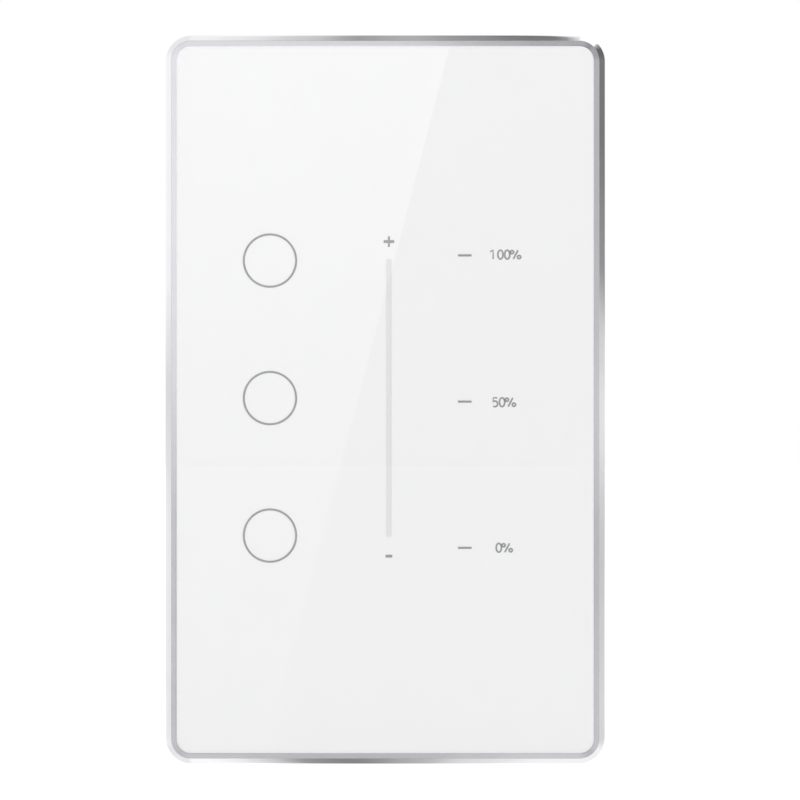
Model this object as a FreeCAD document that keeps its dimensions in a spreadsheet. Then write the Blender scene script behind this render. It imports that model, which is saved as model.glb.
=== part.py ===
import FreeCAD, Part
import math
import os
import re
import Sketcher
from FreeCAD import Vector

# Smart dimmer switch for a single wall box, in millimetres.
# Frame: origin at the middle of the wall plane, +X right, +Z up, and the glass faces -Y.
# Every height is measured from the wall plane towards the room, so a height lies at y = -height.

SIZES = {
    # Outline of the panel
    "plate_width": 72.4,
    "plate_height": 120,
    "plate_corner": 4.3,
    "projection": 11,
    # Glass with its ground bevel
    "glass_thick": 3,
    "bevel_width": 1,
    "bevel_depth": 0.55,
    "glass_gap": 0.05,
    # Metal frame
    "lip_width": 0.9,
    "lip_round": 2.1,
    "ledge_width": 1,
    "ledge_thick": 0.6,
    "frame_tail": 1,
    # Print on the back of the glass
    "print_gap": 0.1,
    "print_edge_gap": 0.05,
    "print_thick": 0.3,
    "ink_thick": 0.05,
    "button_inset": 17.22,
    "button_rise": 0.24,
    "button_pitch": 22.64,
    "ring_outer": 8.95,
    "ring_line": 0.33,
    "slider_across": 0.6,
    "slider_rise": 0.25,
    "slider_length": 45.9,
    "slider_width": 0.95,
    "tick_inset": 23.1,
    "tick_rise": -0.34,
    "tick_pitch": 24.08,
    "tick_length": 2.25,
    "tick_width": 0.35,
    # Adhesive tape
    "tape_width": 4,
    "tape_gap": 0.1,
    # Moulded panel carrier
    "carrier_plate": 1.5,
    "shoulder_fit": 0.05,
    "skirt_inset": 0.4,
    "skirt_draft": 3,
    "skirt_wall": 1.9,
    "wall_gap": 0.3,
    "carrier_rib": 1,
    "carrier_rib_rise": 0.4,
    "carrier_rib_step": 12,
    "pry_width": 12,
    "pry_rise": 1.6,
    # Touch board and its screws
    "board_stand": 0.6,
    "board_side_gap": 1.25,
    "board_end_gap": 3.05,
    "touch_board_thick": 1.2,
    "boss_inset": 2.6,
    "boss_size": 4.4,
    "carrier_screw_size": 2,
    "carrier_screw_length": 2.1,
    "carrier_screw_head": 3.6,
    "carrier_screw_head_rise": 0.9,
    "thread_fit": 0.05,
    "screw_clearance": 0.3,
    # Light guides, touch pads and lamps
    "guide_size": 9.8,
    "guide_window": 5.2,
    "guide_fit": 0.1,
    "guide_gap": 0.05,
    "guide_bar_width": 1.6,
    "guide_bar_overrun": 0.8,
    "pad_size": 4.6,
    "lamp_length": 1.6,
    "lamp_width": 0.8,
    "lamp_rise": 0.35,
    "lamp_pitch": 5.6,
    "lamp_count": 8,
    # Parts on the back of the touch board
    "radio_across": 5,
    "radio_rise": 6,
    "radio_width": 16,
    "radio_height": 24,
    "radio_thick": 0.8,
    "shield_width": 13.5,
    "shield_height": 15.5,
    "shield_rise": 2,
    "shield_edge": 0.4,
    "shield_shift": -3,
    "touch_chip_across": 5,
    "touch_chip_rise": -14,
    "touch_chip_size": 7,
    "touch_chip_thick": 1,
    # Plug connection between panel and base
    "header_across": -9.5,
    "header_rise": -4,
    "pin_pitch": 2.54,
    "pin_rows": 5,
    "pin_columns": 2,
    "pin_size": 0.64,
    "pin_reach": 5.8,
    "pin_tail": 0.35,
    "pin_fit": 0.02,
    "socket_fit": 0.13,
    "header_thick": 2.5,
    "header_gap": 0.1,
    "socket_depth": 6.6,
    "socket_wall": 0.2,
    # Base plate
    "base_fit": 0.35,
    "base_thick": 2.2,
    "base_rim": 1.3,
    "base_rim_height": 5,
    "base_window_width": 30,
    "base_window_height": 44,
    "head_window_width": 9,
    "head_window_height": 13,
    "base_rib": 1,
    "base_rib_rise": 0.8,
    "base_rib_gap": 3.1,
    "catch_up": 34,
    "catch_length": 6,
    "catch_rise": 0.25,
    "catch_height": 4.1,
    "catch_ramp": 0.5,
    "catch_slit": 0.8,
    "catch_play": 0.1,
    # Steel yoke
    "yoke_thick": 1.2,
    "yoke_fit": 0.1,
    "yoke_margin": 2,
    "strap_width": 30,
    "strap_end": 10.85,
    "strap_clip": 3,
    "box_pitch": 83.3,
    "slot_width": 4.2,
    "slot_length": 7.4,
    "ground_across": 9,
    "ground_gap": 5,
    "ground_screw_size": 3,
    "ground_head": 6,
    "ground_head_rise": 2,
    "ground_screw_length": 1.8,
    # Rear housing
    "housing_width": 46,
    "housing_height": 62,
    "housing_depth": 25,
    "housing_corner": 3,
    "housing_wall": 1.8,
    "housing_edge": 1.2,
    "post_inset": 2.3,
    "housing_screw_size": 2.6,
    "housing_screw_head": 5,
    "housing_screw_head_rise": 1,
    "housing_screw_length": 12,
    "vent_width": 1.6,
    "vent_length": 9,
    "vent_pitch": 4,
    "vent_count": 6,
    "vent_low": -1,
    "vent_depth": 16,
    "seat_width": 1.6,
    "seat_low": -12,
    "seat_pitch": 30,
    # Power board
    "power_board_drop": 7.4,
    "power_board_thick": 1.6,
    "power_board_fit": 0.3,
    "notch_fit": 0.4,
    # Terminals
    "bay_cheek": 2.5,
    "terminal_bay_height": 12,
    "bay_gap": 2.2,
    "terminal_fit": 0.1,
    "block_end": 1.4,
    "block_wall": 2.6,
    "pole_count": 4,
    "cavity_width": 6.2,
    "cavity_height": 7.2,
    "cavity_up": 6,
    "wire_entry": 3.8,
    "access_size": 3.9,
    "lug_width": 5.8,
    "lug_height": 6.8,
    "lug_wall": 1,
    "lug_front_gap": 1.1,
    "lug_back_gap": 1.7,
    "leg_width": 1.2,
    "leg_thick": 0.8,
    "leg_fit": 0.2,
    "terminal_screw_size": 3.2,
    "terminal_screw_sink": 0.6,
    "terminal_screw_length": 7,
    # Parts on the back of the power board
    "sink_gap": 0.3,
    "sink_shift": -2,
    "sink_end": 5.2,
    "sink_thick": 1.2,
    "sink_depth": 9.6,
    "sink_foot": 4,
    "triac_width": 4.4,
    "triac_body": 9,
    "triac_tab": 6,
    "triac_tab_thick": 1.3,
    "triac_depth": 7.6,
    "triac_gap": 0.4,
    "film_gap": 2,
    "film_shift": 6.2,
    "film_width": 7,
    "film_height": 13,
    "film_depth": 9.5,
    "film_edge": 0.6,
    "can_pitch": 8.2,
    "can_shift": 2.6,
    "can_size": 8,
    "can_depth": 9.5,
    "lead_gap": 0.8,
    "fuse_shift": -9.3,
    "fuse_size": 5,
    "fuse_length": 15,
    "core_shift": -9.6,
    "core_width": 14,
    "core_height": 14,
    "core_depth": 9.6,
    "core_leg": 3.5,
    "winding_gap": 0.3,
    # Parts on the front of the power board
    "bridge_across": -8,
    "bridge_shift": 6,
    "bridge_width": 6.5,
    "bridge_height": 8.5,
    "bridge_thick": 2.5,
    "driver_across": 9,
    "driver_shift": 2,
    "driver_width": 7.5,
    "driver_height": 10.3,
    "driver_thick": 2.3,
    "varistor_across": 9,
    "varistor_shift": -12,
    "varistor_size": 9,
    "varistor_thick": 3.6,
}

# Places that follow from the sizes
PLACES = {
    "button_across": "button_inset - plate_width / 2",
    "tick_across": "plate_width / 2 - tick_inset",
    "glass_back": "projection - glass_thick",
    "lip_front": "projection - bevel_depth",
    "lip_cut": "lip_round - lip_width",
    "lip_crown": "lip_front + lip_round - sqrt(lip_round * lip_round - lip_cut * lip_cut)",
    "glass_inset": "lip_width + glass_gap",
    "ledge_inset": "lip_width + ledge_width",
    "print_inset": "glass_inset + print_edge_gap",
    "print_front": "glass_back - print_gap",
    "print_back": "print_front - print_thick",
    "ledge_back": "print_back - ledge_thick",
    "frame_back": "ledge_back - frame_tail",
    "tape_thick": "print_back - ledge_back",
    "tape_inset": "ledge_inset + (plate_corner - ledge_inset) * (1 - sqrt(1 / 2)) + tape_gap",
    "carrier_back": "ledge_back - carrier_plate",
    "shoulder_inset": "lip_width + shoulder_fit",
    "skirt_inner": "skirt_inset + skirt_wall",
    "board_front": "carrier_back - board_stand",
    "touch_board_width": "base_width - 2 * (base_rim + board_side_gap)",
    "touch_board_height": "base_height - 2 * (base_rim + board_end_gap)",
    "boss_across": "touch_board_width / 2 - boss_inset",
    "boss_up": "touch_board_height / 2 - boss_inset",
    "board_back": "board_front - touch_board_thick",
    "guide_back": "board_front + lamp_rise + guide_gap",
    "guide_front": "print_back - guide_gap",
    "guide_bar_length": "slider_length + guide_bar_overrun",
    "shield_up": "radio_rise + shield_shift",
    "header_width": "pin_columns * pin_pitch",
    "header_height": "pin_rows * pin_pitch",
    "header_back": "board_back - header_thick",
    "base_inset": "skirt_inner + base_fit",
    "base_width": "plate_width - 2 * base_inset",
    "base_height": "plate_height - 2 * base_inset",
    "base_clip": "plate_corner - base_inset",
    "yoke_width": "housing_width + 2 * yoke_margin",
    "yoke_height": "housing_height + 2 * yoke_margin",
    "strap_height": "box_pitch + 2 * strap_end",
    "ground_drop": "housing_height / 2 + ground_gap",
    "inner_width": "housing_width - 2 * housing_wall",
    "inner_height": "housing_height - 2 * housing_wall",
    "post_across": "inner_width / 2 - post_inset",
    "post_up": "inner_height / 2 - post_inset",
    "bay_top": "terminal_bay_height - housing_height / 2",
    "bay_floor": "power_back - bay_gap - housing_wall",
    "bay_width": "housing_width - 2 * bay_cheek",
    "well_low": "bay_top + housing_wall",
    "well_height": "inner_height / 2 - well_low",
    "well_middle": "(inner_height / 2 + well_low) / 2",
    "power_front": "-power_board_drop",
    "power_back": "power_front - power_board_thick",
    "block_front": "bay_floor - terminal_fit",
    "block_back": "terminal_fit - housing_depth",
    "block_low": "terminal_fit - housing_height / 2",
    "block_top": "bay_top - terminal_fit",
    "block_height": "block_top - block_low",
    "block_depth": "block_front - block_back",
    "block_width": "bay_width - 2 * terminal_fit",
    "cavity_depth": "block_depth - block_wall",
    "pole_pitch": "(block_width - 2 * block_end) / pole_count",
    "pole_up": "block_low + cavity_up",
    "first_pole": "-pole_pitch * (pole_count - 1) / 2",
    "lug_front": "block_front - lug_front_gap",
    "lug_depth": "cavity_depth - lug_front_gap - lug_back_gap",
    "lug_back": "lug_front - lug_depth",
    "screw_back": "block_back + terminal_screw_sink",
    "sink_across": "seat_width + sink_gap + sink_thick / 2 - inner_width / 2",
    "sink_face": "sink_across + sink_thick / 2",
    "sink_up": "well_middle + sink_shift",
    "film_across": "inner_width / 2 - film_gap - film_width / 2",
    "fuse_across": "inner_width / 2 - film_gap - fuse_size / 2",
    "core_up": "well_middle + core_shift",
    "window_height": "(core_height - 3 * core_leg) / 2",
}

doc = FreeCAD.newDocument("smart_dimmer_switch")
sheet = doc.addObject("Spreadsheet::Sheet", "Sizes")
for row, (name, number) in enumerate(SIZES.items(), start=1):
    sheet.set(f"A{row}", name)
    sheet.set(f"B{row}", str(number))
    sheet.setAlias(f"B{row}", name)
doc.recompute()

pieces = []


# Shared ways of working

def sized(text):
    """The expression with each name tied to its cell of the sheet."""
    def tie(word):
        name = word.group(0)
        if name in PLACES:
            return "(" + sized(PLACES[name]) + ")"
        return "Sizes." + name if name in SIZES else name
    return re.sub(r"[a-z]\w*", tie, str(text))


def value(text):
    """What an expression comes to, for the first guess of a sketch."""
    return float(sheet.evalExpression(sized(text)))


def bind(thing, quality, text):
    """Ties one property of a feature to an expression of the sizes."""
    thing.setExpression(quality, sized(text))


def new_body(label):
    """A body for one piece, listed for the hand-in."""
    body = doc.addObject("PartDesign::Body", label)
    body.Label = label
    pieces.append(body)
    return body


def origin_of(body, role):
    """The plane or axis of the body's own origin that has this role."""
    return next(item for item in body.Origin.OriginFeatures if item.Role == role)


def new_sketch(body, offset, plane="XZ_Plane"):
    """A sketch parallel to an origin plane; on XZ_Plane the offset is the height above the wall."""
    sketch = body.newObject("Sketcher::SketchObject", body.Label + "_sketch")
    sketch.AttachmentSupport = [(origin_of(body, plane), "")]
    sketch.MapMode = "FlatFace"
    bind(sketch, "AttachmentOffset.Base.z", offset)
    return sketch


def dimension(sketch, constraint, text):
    """Adds a driving dimension that follows an expression."""
    number = sketch.addConstraint(constraint)
    bind(sketch, f"Constraints[{number}]", text)


def across(sketch, edge, end, text):
    """Holds one point of an edge at this distance right of the sketch's origin."""
    dimension(sketch, Sketcher.Constraint("DistanceX", -1, 1, edge, end, value(text)), text)


def upward(sketch, edge, end, text):
    """Holds one point of an edge at this distance above the sketch's origin."""
    dimension(sketch, Sketcher.Constraint("DistanceY", -1, 1, edge, end, value(text)), text)


def add_circle(sketch, x, z, diameter):
    """A circle about a centre."""
    shape = Part.Circle(Vector(value(x), value(z), 0), Vector(0, 0, 1), value(diameter) / 2)
    edge = sketch.addGeometry(shape, False)
    across(sketch, edge, 3, x)
    upward(sketch, edge, 3, z)
    dimension(sketch, Sketcher.Constraint("Diameter", edge, value(diameter)), diameter)


def add_polygon(sketch, corners):
    """A closed outline of straight edges through the given corners."""
    points = [Vector(value(x), value(z), 0) for x, z in corners]
    lines = [Part.LineSegment(point, points[(i + 1) % len(points)]) for i, point in enumerate(points)]
    edges = sketch.addGeometry(lines, False)
    for i, edge in enumerate(edges):
        sketch.addConstraint(Sketcher.Constraint("Coincident", edge, 2, edges[(i + 1) % len(edges)], 1))
    for edge, (x, z) in zip(edges, corners):
        across(sketch, edge, 1, x)
        upward(sketch, edge, 1, z)


def add_rectangle(sketch, x, z, width, height):
    """A sharp rectangle about its middle."""
    left, right = f"{x} - ({width}) / 2", f"{x} + ({width}) / 2"
    low, high = f"{z} - ({height}) / 2", f"{z} + ({height}) / 2"
    add_polygon(sketch, [(left, low), (right, low), (right, high), (left, high)])


def add_clipped(sketch, width, height, clip):
    """A rectangle with clipped corners about the sketch's origin."""
    side, top = f"({width}) / 2", f"({height}) / 2"
    shoulder, brow = f"({width}) / 2 - ({clip})", f"({height}) / 2 - ({clip})"
    add_polygon(sketch, [(shoulder, "-" + top), (side, f"-({brow})"), (side, brow), (shoulder, top),
                         (f"-({shoulder})", top), ("-" + side, brow), ("-" + side, f"-({brow})"),
                         (f"-({shoulder})", "-" + top)])


def add_rounded(sketch, x, z, width, height, corner):
    """A rectangle with round corners about its middle."""
    half_width, half_height, radius = value(width) / 2, value(height) / 2, value(corner)
    middle = Vector(value(x), value(z), 0)
    right, top = Vector(half_width, 0, 0), Vector(0, half_height, 0)
    turns = [(right - top, Vector(-radius, radius, 0)), (right + top, Vector(-radius, -radius, 0)),
             (top - right, Vector(radius, -radius, 0)), (-right - top, Vector(radius, radius, 0))]
    quarter = math.pi / 2
    arcs = []
    for i, (tip, inward) in enumerate(turns):
        circle = Part.Circle(middle + tip + inward, Vector(0, 0, 1), radius)
        arcs.append(Part.ArcOfCircle(circle, (i - 1) * quarter, i * quarter))
    outline = []
    for i, arc in enumerate(arcs):
        outline.append(arc)
        outline.append(Part.LineSegment(arc.EndPoint, arcs[(i + 1) % 4].StartPoint))
    edges = sketch.addGeometry(outline, False)
    for i, edge in enumerate(edges):
        sketch.addConstraint(Sketcher.Constraint("Tangent", edge, 2, edges[(i + 1) % 8], 1))
    for arc in edges[2::2]:
        sketch.addConstraint(Sketcher.Constraint("Equal", edges[0], arc))
    for i, direction in ((1, "Vertical"), (3, "Horizontal"), (5, "Vertical"), (7, "Horizontal")):
        sketch.addConstraint(Sketcher.Constraint(direction, edges[i]))
    dimension(sketch, Sketcher.Constraint("Radius", edges[0], radius), corner)
    across(sketch, edges[1], 1, f"{x} + ({width}) / 2")
    across(sketch, edges[5], 1, f"{x} - ({width}) / 2")
    upward(sketch, edges[3], 1, f"{z} + ({height}) / 2")
    upward(sketch, edges[7], 1, f"{z} - ({height}) / 2")


def add_slot(sketch, x, z, width, height):
    """An upright slot with round ends about its middle."""
    radius, reach = value(width) / 2, (value(height) - value(width)) / 2
    middle, rise = Vector(value(x), value(z), 0), Vector(0, reach, 0)
    top = Part.ArcOfCircle(Part.Circle(middle + rise, Vector(0, 0, 1), radius), 0, math.pi)
    low = Part.ArcOfCircle(Part.Circle(middle - rise, Vector(0, 0, 1), radius), math.pi, 2 * math.pi)
    left = Part.LineSegment(top.EndPoint, low.StartPoint)
    right = Part.LineSegment(low.EndPoint, top.StartPoint)
    edges = sketch.addGeometry([top, left, low, right], False)
    for i, edge in enumerate(edges):
        sketch.addConstraint(Sketcher.Constraint("Tangent", edge, 2, edges[(i + 1) % 4], 1))
    sketch.addConstraint(Sketcher.Constraint("Equal", edges[0], edges[2]))
    dimension(sketch, Sketcher.Constraint("Radius", edges[0], radius), f"({width}) / 2")
    for edge, sign in ((edges[0], "+"), (edges[2], "-")):
        across(sketch, edge, 3, x)
        upward(sketch, edge, 3, f"{z} {sign} (({height}) - ({width})) / 2")


def add_outline(sketch, inset):
    """The panel's outline, moved inwards by an inset."""
    add_rounded(sketch, "0", "0", f"plate_width - 2 * ({inset})", f"plate_height - 2 * ({inset})",
                f"plate_corner - ({inset})")


def feature(body, kind, sketch, length, reverse=False, both_ways=False):
    """Grows or cuts a sketch: a pad grows along its normal, a pocket cuts against it."""
    made = body.newObject("PartDesign::" + kind, f"{body.Label}_{kind.lower()}")
    made.Profile = sketch
    bind(made, "Length", length)
    made.Reversed = reverse
    made.Midplane = both_ways
    body.Tip = made
    return made


def pad(body, sketch, length, **ways):
    """Adds material."""
    return feature(body, "Pad", sketch, length, **ways)


def pocket(body, sketch, length, **ways):
    """Takes material away."""
    return feature(body, "Pocket", sketch, length, **ways)


def grid(body, features, steps):
    """Repeats features on a grid; each step is an axis, a pitch and a count."""
    made = body.newObject("PartDesign::LinearPattern", body.Label + "_grid")
    made.Originals = features
    common_pitch = -1.0
    made.Spacings2 = [common_pitch]
    for number, (axis, pitch, count) in zip(("", "2"), steps):
        setattr(made, "Direction" + number, (origin_of(body, axis), [""]))
        setattr(made, "Mode" + number, "Spacing")
        bind(made, "Offset" + number, pitch)
        bind(made, "Occurrences" + number, count)
    body.Tip = made
    return made


def lies_at(face, height):
    """Whether a face lies flat at a height."""
    near = 1e-4
    return abs(face.BoundBox.YMin + value(height)) < near and face.BoundBox.YLength < near


def front_rim(body, height):
    """Names of the edges round the largest flat face at a height."""
    doc.recompute()
    shape = body.Tip.Shape
    level = [face for face in shape.Faces if lies_at(face, height)]
    rim = max(level, key=lambda face: face.BoundBox.XLength * face.BoundBox.ZLength).OuterWire.Edges
    return [f"Edge{i}" for i, edge in enumerate(shape.Edges, 1) if any(edge.isSame(other) for other in rim)]


def soften(body, kind, edges, size):
    """Rounds or bevels edges of the last feature."""
    base = body.Tip
    made = body.newObject("PartDesign::" + kind, f"{body.Label}_{kind.lower()}")
    made.Base = (base, edges)
    bind(made, "Radius" if kind == "Fillet" else "Size", size)
    body.Tip = made
    return made


def box(label, x, z, front, width, height, depth):
    """A plain block about its middle, with its front at a height."""
    block = doc.addObject("Part::Box", label)
    block.Label = label
    for quality, text in (("Length", width), ("Width", depth), ("Height", height)):
        bind(block, quality, text)
    bind(block, "Placement.Base.x", f"{x} - ({width}) / 2")
    bind(block, "Placement.Base.y", f"-({front})")
    bind(block, "Placement.Base.z", f"{z} - ({height}) / 2")
    return block


def listed(thing):
    """Lists a block for the hand-in."""
    pieces.append(thing)
    return thing


# Glass panel: one toughened pane with a ground bevel round its front

def make_glass_panel():
    body = new_body("glass_panel")
    outline = new_sketch(body, "glass_back")
    add_outline(outline, "glass_inset")
    pad(body, outline, "glass_thick")
    bevel = soften(body, "Chamfer", front_rim(body, "projection"), "bevel_depth")
    bevel.ChamferType = "Two distances"
    bind(bevel, "Size2", "bevel_width")


# Panel frame: a polished metal band, its lip rounded on from the glass bevel, with a ledge under the glass

def make_panel_frame():
    body = new_body("panel_frame")
    outline = new_sketch(body, "frame_back")
    add_outline(outline, "0")
    pad(body, outline, "lip_crown - frame_back")
    soften(body, "Fillet", front_rim(body, "lip_crown"), "lip_round")
    glass_seat = new_sketch(body, "lip_crown")
    add_outline(glass_seat, "lip_width")
    pocket(body, glass_seat, "lip_crown - print_back")
    window = new_sketch(body, "print_back")
    add_outline(window, "ledge_inset")
    pocket(body, window, "ledge_thick")
    tail = new_sketch(body, "ledge_back")
    add_outline(tail, "lip_width")
    pocket(body, tail, "frame_tail")


# Print on the back of the glass: the rings, the scale and the slider strip, and the white layer behind them

def add_rings(sketch):
    for i in (1, 0, -1):
        centre = f"button_rise + {i} * button_pitch"
        add_circle(sketch, "button_across", centre, "ring_outer")
        add_circle(sketch, "button_across", centre, "ring_outer - 2 * ring_line")


def add_ticks(sketch):
    for i in (1, 0, -1):
        add_rectangle(sketch, "tick_across", f"tick_rise + {i} * tick_pitch", "tick_length", "tick_width")


def add_slider(sketch):
    add_slot(sketch, "slider_across", "slider_rise", "slider_width", "slider_length")


def make_print():
    body = new_body("back_print")
    outline = new_sketch(body, "print_back")
    add_outline(outline, "print_inset")
    pad(body, outline, "print_thick")
    inks = (("ring_marks", add_rings), ("scale_marks", add_ticks), ("slider_strip", add_slider))
    for label, add_marks in inks:
        ink = new_body(label)
        mark = new_sketch(ink, "print_front")
        add_marks(mark)
        pad(ink, mark, "ink_thick")


# Tape: a double-sided frame of tape that holds the glass to the carrier

def make_glass_tape():
    body = new_body("glass_tape")
    outline = new_sketch(body, "ledge_back")
    for inset in ("tape_inset", "tape_inset + tape_width"):
        add_rectangle(outline, "0", "0", f"plate_width - 2 * ({inset})", f"plate_height - 2 * ({inset})")
    pad(body, outline, "tape_thick")


# Panel carrier: the white moulded tray behind the glass, with a tapered skirt down to the wall

def make_panel_carrier():
    body = new_body("panel_carrier")
    skirt = new_sketch(body, "frame_back")
    add_outline(skirt, "skirt_inset")
    flank = pad(body, skirt, "frame_back - wall_gap", reverse=True)
    bind(flank, "TaperAngle", "-skirt_draft")
    shoulder = new_sketch(body, "frame_back")
    add_outline(shoulder, "shoulder_inset")
    pad(body, shoulder, "frame_tail")
    hollow = new_sketch(body, "carrier_back")
    add_outline(hollow, "skirt_inner")
    pocket(body, hollow, "carrier_back - wall_gap")
    add_carrier_ribs(body)
    bosses = new_sketch(body, "board_front")
    add_rectangle(bosses, "-boss_across", "-boss_up", "boss_size", "boss_size")
    posts = pad(body, bosses, "board_stand")
    grid(body, [posts], [("X_Axis", "2 * boss_across", "2"), ("Z_Axis", "2 * boss_up", "2")])
    bores = new_sketch(body, "board_front")
    add_board_screws(bores, "carrier_screw_size + 2 * thread_fit")
    pocket(body, bores, "carrier_screw_length - touch_board_thick + thread_fit", reverse=True)
    guide_holes = new_sketch(body, "ledge_back")
    for i in (1, 0, -1):
        centre = f"button_rise + {i} * button_pitch"
        add_circle(guide_holes, "button_across", centre, "guide_size + 2 * guide_fit")
    add_slot(guide_holes, "slider_across", "slider_rise", "guide_bar_width + 2 * guide_fit",
             "guide_bar_length + 2 * guide_fit")
    pocket(body, guide_holes, "carrier_plate")
    add_catch_grooves(body)
    add_pry_notch(body)


def add_board_screws(sketch, diameter):
    """Circles at two opposite corners of the touch board, where its screws are."""
    add_circle(sketch, "-boss_across", "boss_up", diameter)
    add_circle(sketch, "boss_across", "-boss_up", diameter)


def add_carrier_ribs(body):
    """Low stiffening ribs across the back of the deck, above and below the touch field."""
    rib = new_sketch(body, "carrier_back - carrier_rib_rise")
    low = "button_rise - button_pitch - carrier_rib_step"
    add_rectangle(rib, "0", low, "plate_width - 2 * skirt_inner", "carrier_rib")
    made = pad(body, rib, "carrier_rib_rise")
    grid(body, [made], [("Z_Axis", "2 * (button_pitch + carrier_rib_step)", "2")])


def add_catch_grooves(body):
    """Shallow grooves inside the skirt for the catches of the base plate."""
    groove = new_sketch(body, "-catch_up", "XY_Plane")
    wall = "plate_width / 2 - skirt_inner"
    bottom = "catch_rise + catch_play"
    for sign in ("-", ""):
        corners = [(f"{sign}({wall} - catch_play)", "-(catch_height - catch_ramp - catch_play)"),
                   (f"{sign}({wall} + {bottom})", "-(catch_height - catch_ramp - catch_play)"),
                   (f"{sign}({wall} + {bottom})", "-(catch_height + catch_ramp + catch_play)"),
                   (f"{sign}({wall} - catch_play)", "-(catch_height + catch_ramp + catch_play)")]
        add_polygon(groove, corners)
    cut = pocket(body, groove, "catch_length + 2 * catch_play", both_ways=True)
    grid(body, [cut], [("Z_Axis", "2 * catch_up", "2")])


def add_pry_notch(body):
    """The notch at the bottom edge where a flat tool lifts the panel off."""
    notch = new_sketch(body, "wall_gap")
    add_rectangle(notch, "0", "skirt_inner / 2 - plate_height / 2", "pry_width", "skirt_inner")
    pocket(body, notch, "pry_rise", reverse=True)


# Touch board: the sensor circuit board, screwed to the carrier

def make_touch_board():
    body = new_body("touch_board")
    outline = new_sketch(body, "board_back")
    add_rectangle(outline, "0", "0", "touch_board_width", "touch_board_height")
    pad(body, outline, "touch_board_thick")
    drill = new_sketch(body, "board_front")
    add_board_screws(drill, "carrier_screw_size + screw_clearance")
    pocket(body, drill, "touch_board_thick")
    pin_holes = new_sketch(body, "board_front")
    add_first_pin(pin_holes, "pin_size + 2 * pin_fit")
    pin_hole = pocket(body, pin_holes, "touch_board_thick")
    pin_grid(body, pin_hole)


def make_carrier_screws():
    body = new_body("carrier_screws")
    shank = new_sketch(body, "board_back")
    add_board_screws(shank, "carrier_screw_size")
    pad(body, shank, "carrier_screw_length")
    top = new_sketch(body, "board_back - carrier_screw_head_rise")
    add_board_screws(top, "carrier_screw_head")
    pad(body, top, "carrier_screw_head_rise")


# Light guides, touch pads and lamps: one set behind each ring, and a bar behind the slider

def make_ring_guide(label, centre):
    body = new_body(label)
    ring = new_sketch(body, "guide_back")
    add_circle(ring, "button_across", centre, "guide_size")
    add_rectangle(ring, "button_across", centre, "guide_window", "guide_window")
    pad(body, ring, "guide_front - guide_back")


def make_slider_guide():
    body = new_body("slider_light_guide")
    bar = new_sketch(body, "guide_back")
    add_slot(bar, "slider_across", "slider_rise", "guide_bar_width", "guide_bar_length")
    pad(body, bar, "guide_front - guide_back")


def make_touch_pad(label, centre):
    listed(box(label, "button_across", centre, "print_back",
               "pad_size", "pad_size", "print_back - board_front"))


def make_lamps():
    rings = new_body("ring_lamps")
    lamp = new_sketch(rings, "board_front")
    ring_middle = "(guide_size + guide_window) / 4"
    low = "button_rise - button_pitch"
    for sign in ("-", "+"):
        add_rectangle(lamp, f"button_across {sign} {ring_middle}", low, "lamp_width", "lamp_length")
    chips = pad(rings, lamp, "lamp_rise")
    grid(rings, [chips], [("Z_Axis", "button_pitch", "3")])
    column = new_body("slider_lamps")
    lamp = new_sketch(column, "board_front")
    lowest = "slider_rise - (lamp_count - 1) * lamp_pitch / 2"
    add_rectangle(lamp, "slider_across", lowest, "lamp_width", "lamp_length")
    chip = pad(column, lamp, "lamp_rise")
    grid(column, [chip], [("Z_Axis", "lamp_pitch", "lamp_count")])


# Parts on the back of the touch board

def make_radio():
    listed(box("radio_module", "radio_across", "radio_rise", "board_back",
               "radio_width", "radio_height", "radio_thick"))
    body = new_body("radio_shield")
    can = new_sketch(body, "board_back - radio_thick")
    add_rectangle(can, "radio_across", "shield_up", "shield_width", "shield_height")
    pad(body, can, "shield_rise", reverse=True)
    soften(body, "Chamfer", front_rim(body, "board_back - radio_thick - shield_rise"), "shield_edge")


def make_touch_chip():
    listed(box("touch_chip", "touch_chip_across", "touch_chip_rise", "board_back",
               "touch_chip_size", "touch_chip_size", "touch_chip_thick"))


# Plug connection: a row of square pins on the panel and a socket on the base

def add_first_pin(sketch, size):
    """The lowest left place of the pin grid."""
    add_rectangle(sketch, "header_across - (pin_columns - 1) * pin_pitch / 2",
                  "header_rise - (pin_rows - 1) * pin_pitch / 2", size, size)


def pin_grid(body, first):
    grid(body, [first], [("X_Axis", "pin_pitch", "pin_columns"), ("Z_Axis", "pin_pitch", "pin_rows")])


def make_pin_header():
    body = new_body("pin_header")
    strip = new_sketch(body, "header_back")
    add_rectangle(strip, "header_across", "header_rise", "header_width", "header_height")
    pad(body, strip, "header_thick")
    hole = new_sketch(body, "board_back")
    add_first_pin(hole, "pin_size + 2 * pin_fit")
    pin_grid(body, pocket(body, hole, "header_thick"))
    pins = new_body("header_pins")
    pin = new_sketch(pins, "header_back - pin_reach")
    add_first_pin(pin, "pin_size")
    pin_grid(pins, pad(pins, pin, "pin_reach + header_thick + touch_board_thick + pin_tail"))


def make_socket_header():
    body = new_body("socket_header")
    strip = new_sketch(body, "power_front")
    add_rectangle(strip, "header_across", "header_rise", "header_width + 2 * socket_wall",
                  "header_height + 2 * socket_wall")
    pad(body, strip, "header_back - header_gap - power_front")
    mouth = new_sketch(body, "header_back - header_gap")
    add_first_pin(mouth, "pin_size + 2 * socket_fit")
    pin_grid(body, pocket(body, mouth, "socket_depth"))


# Base plate: the moulded plate that stays on the wall and carries the panel's catches

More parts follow.
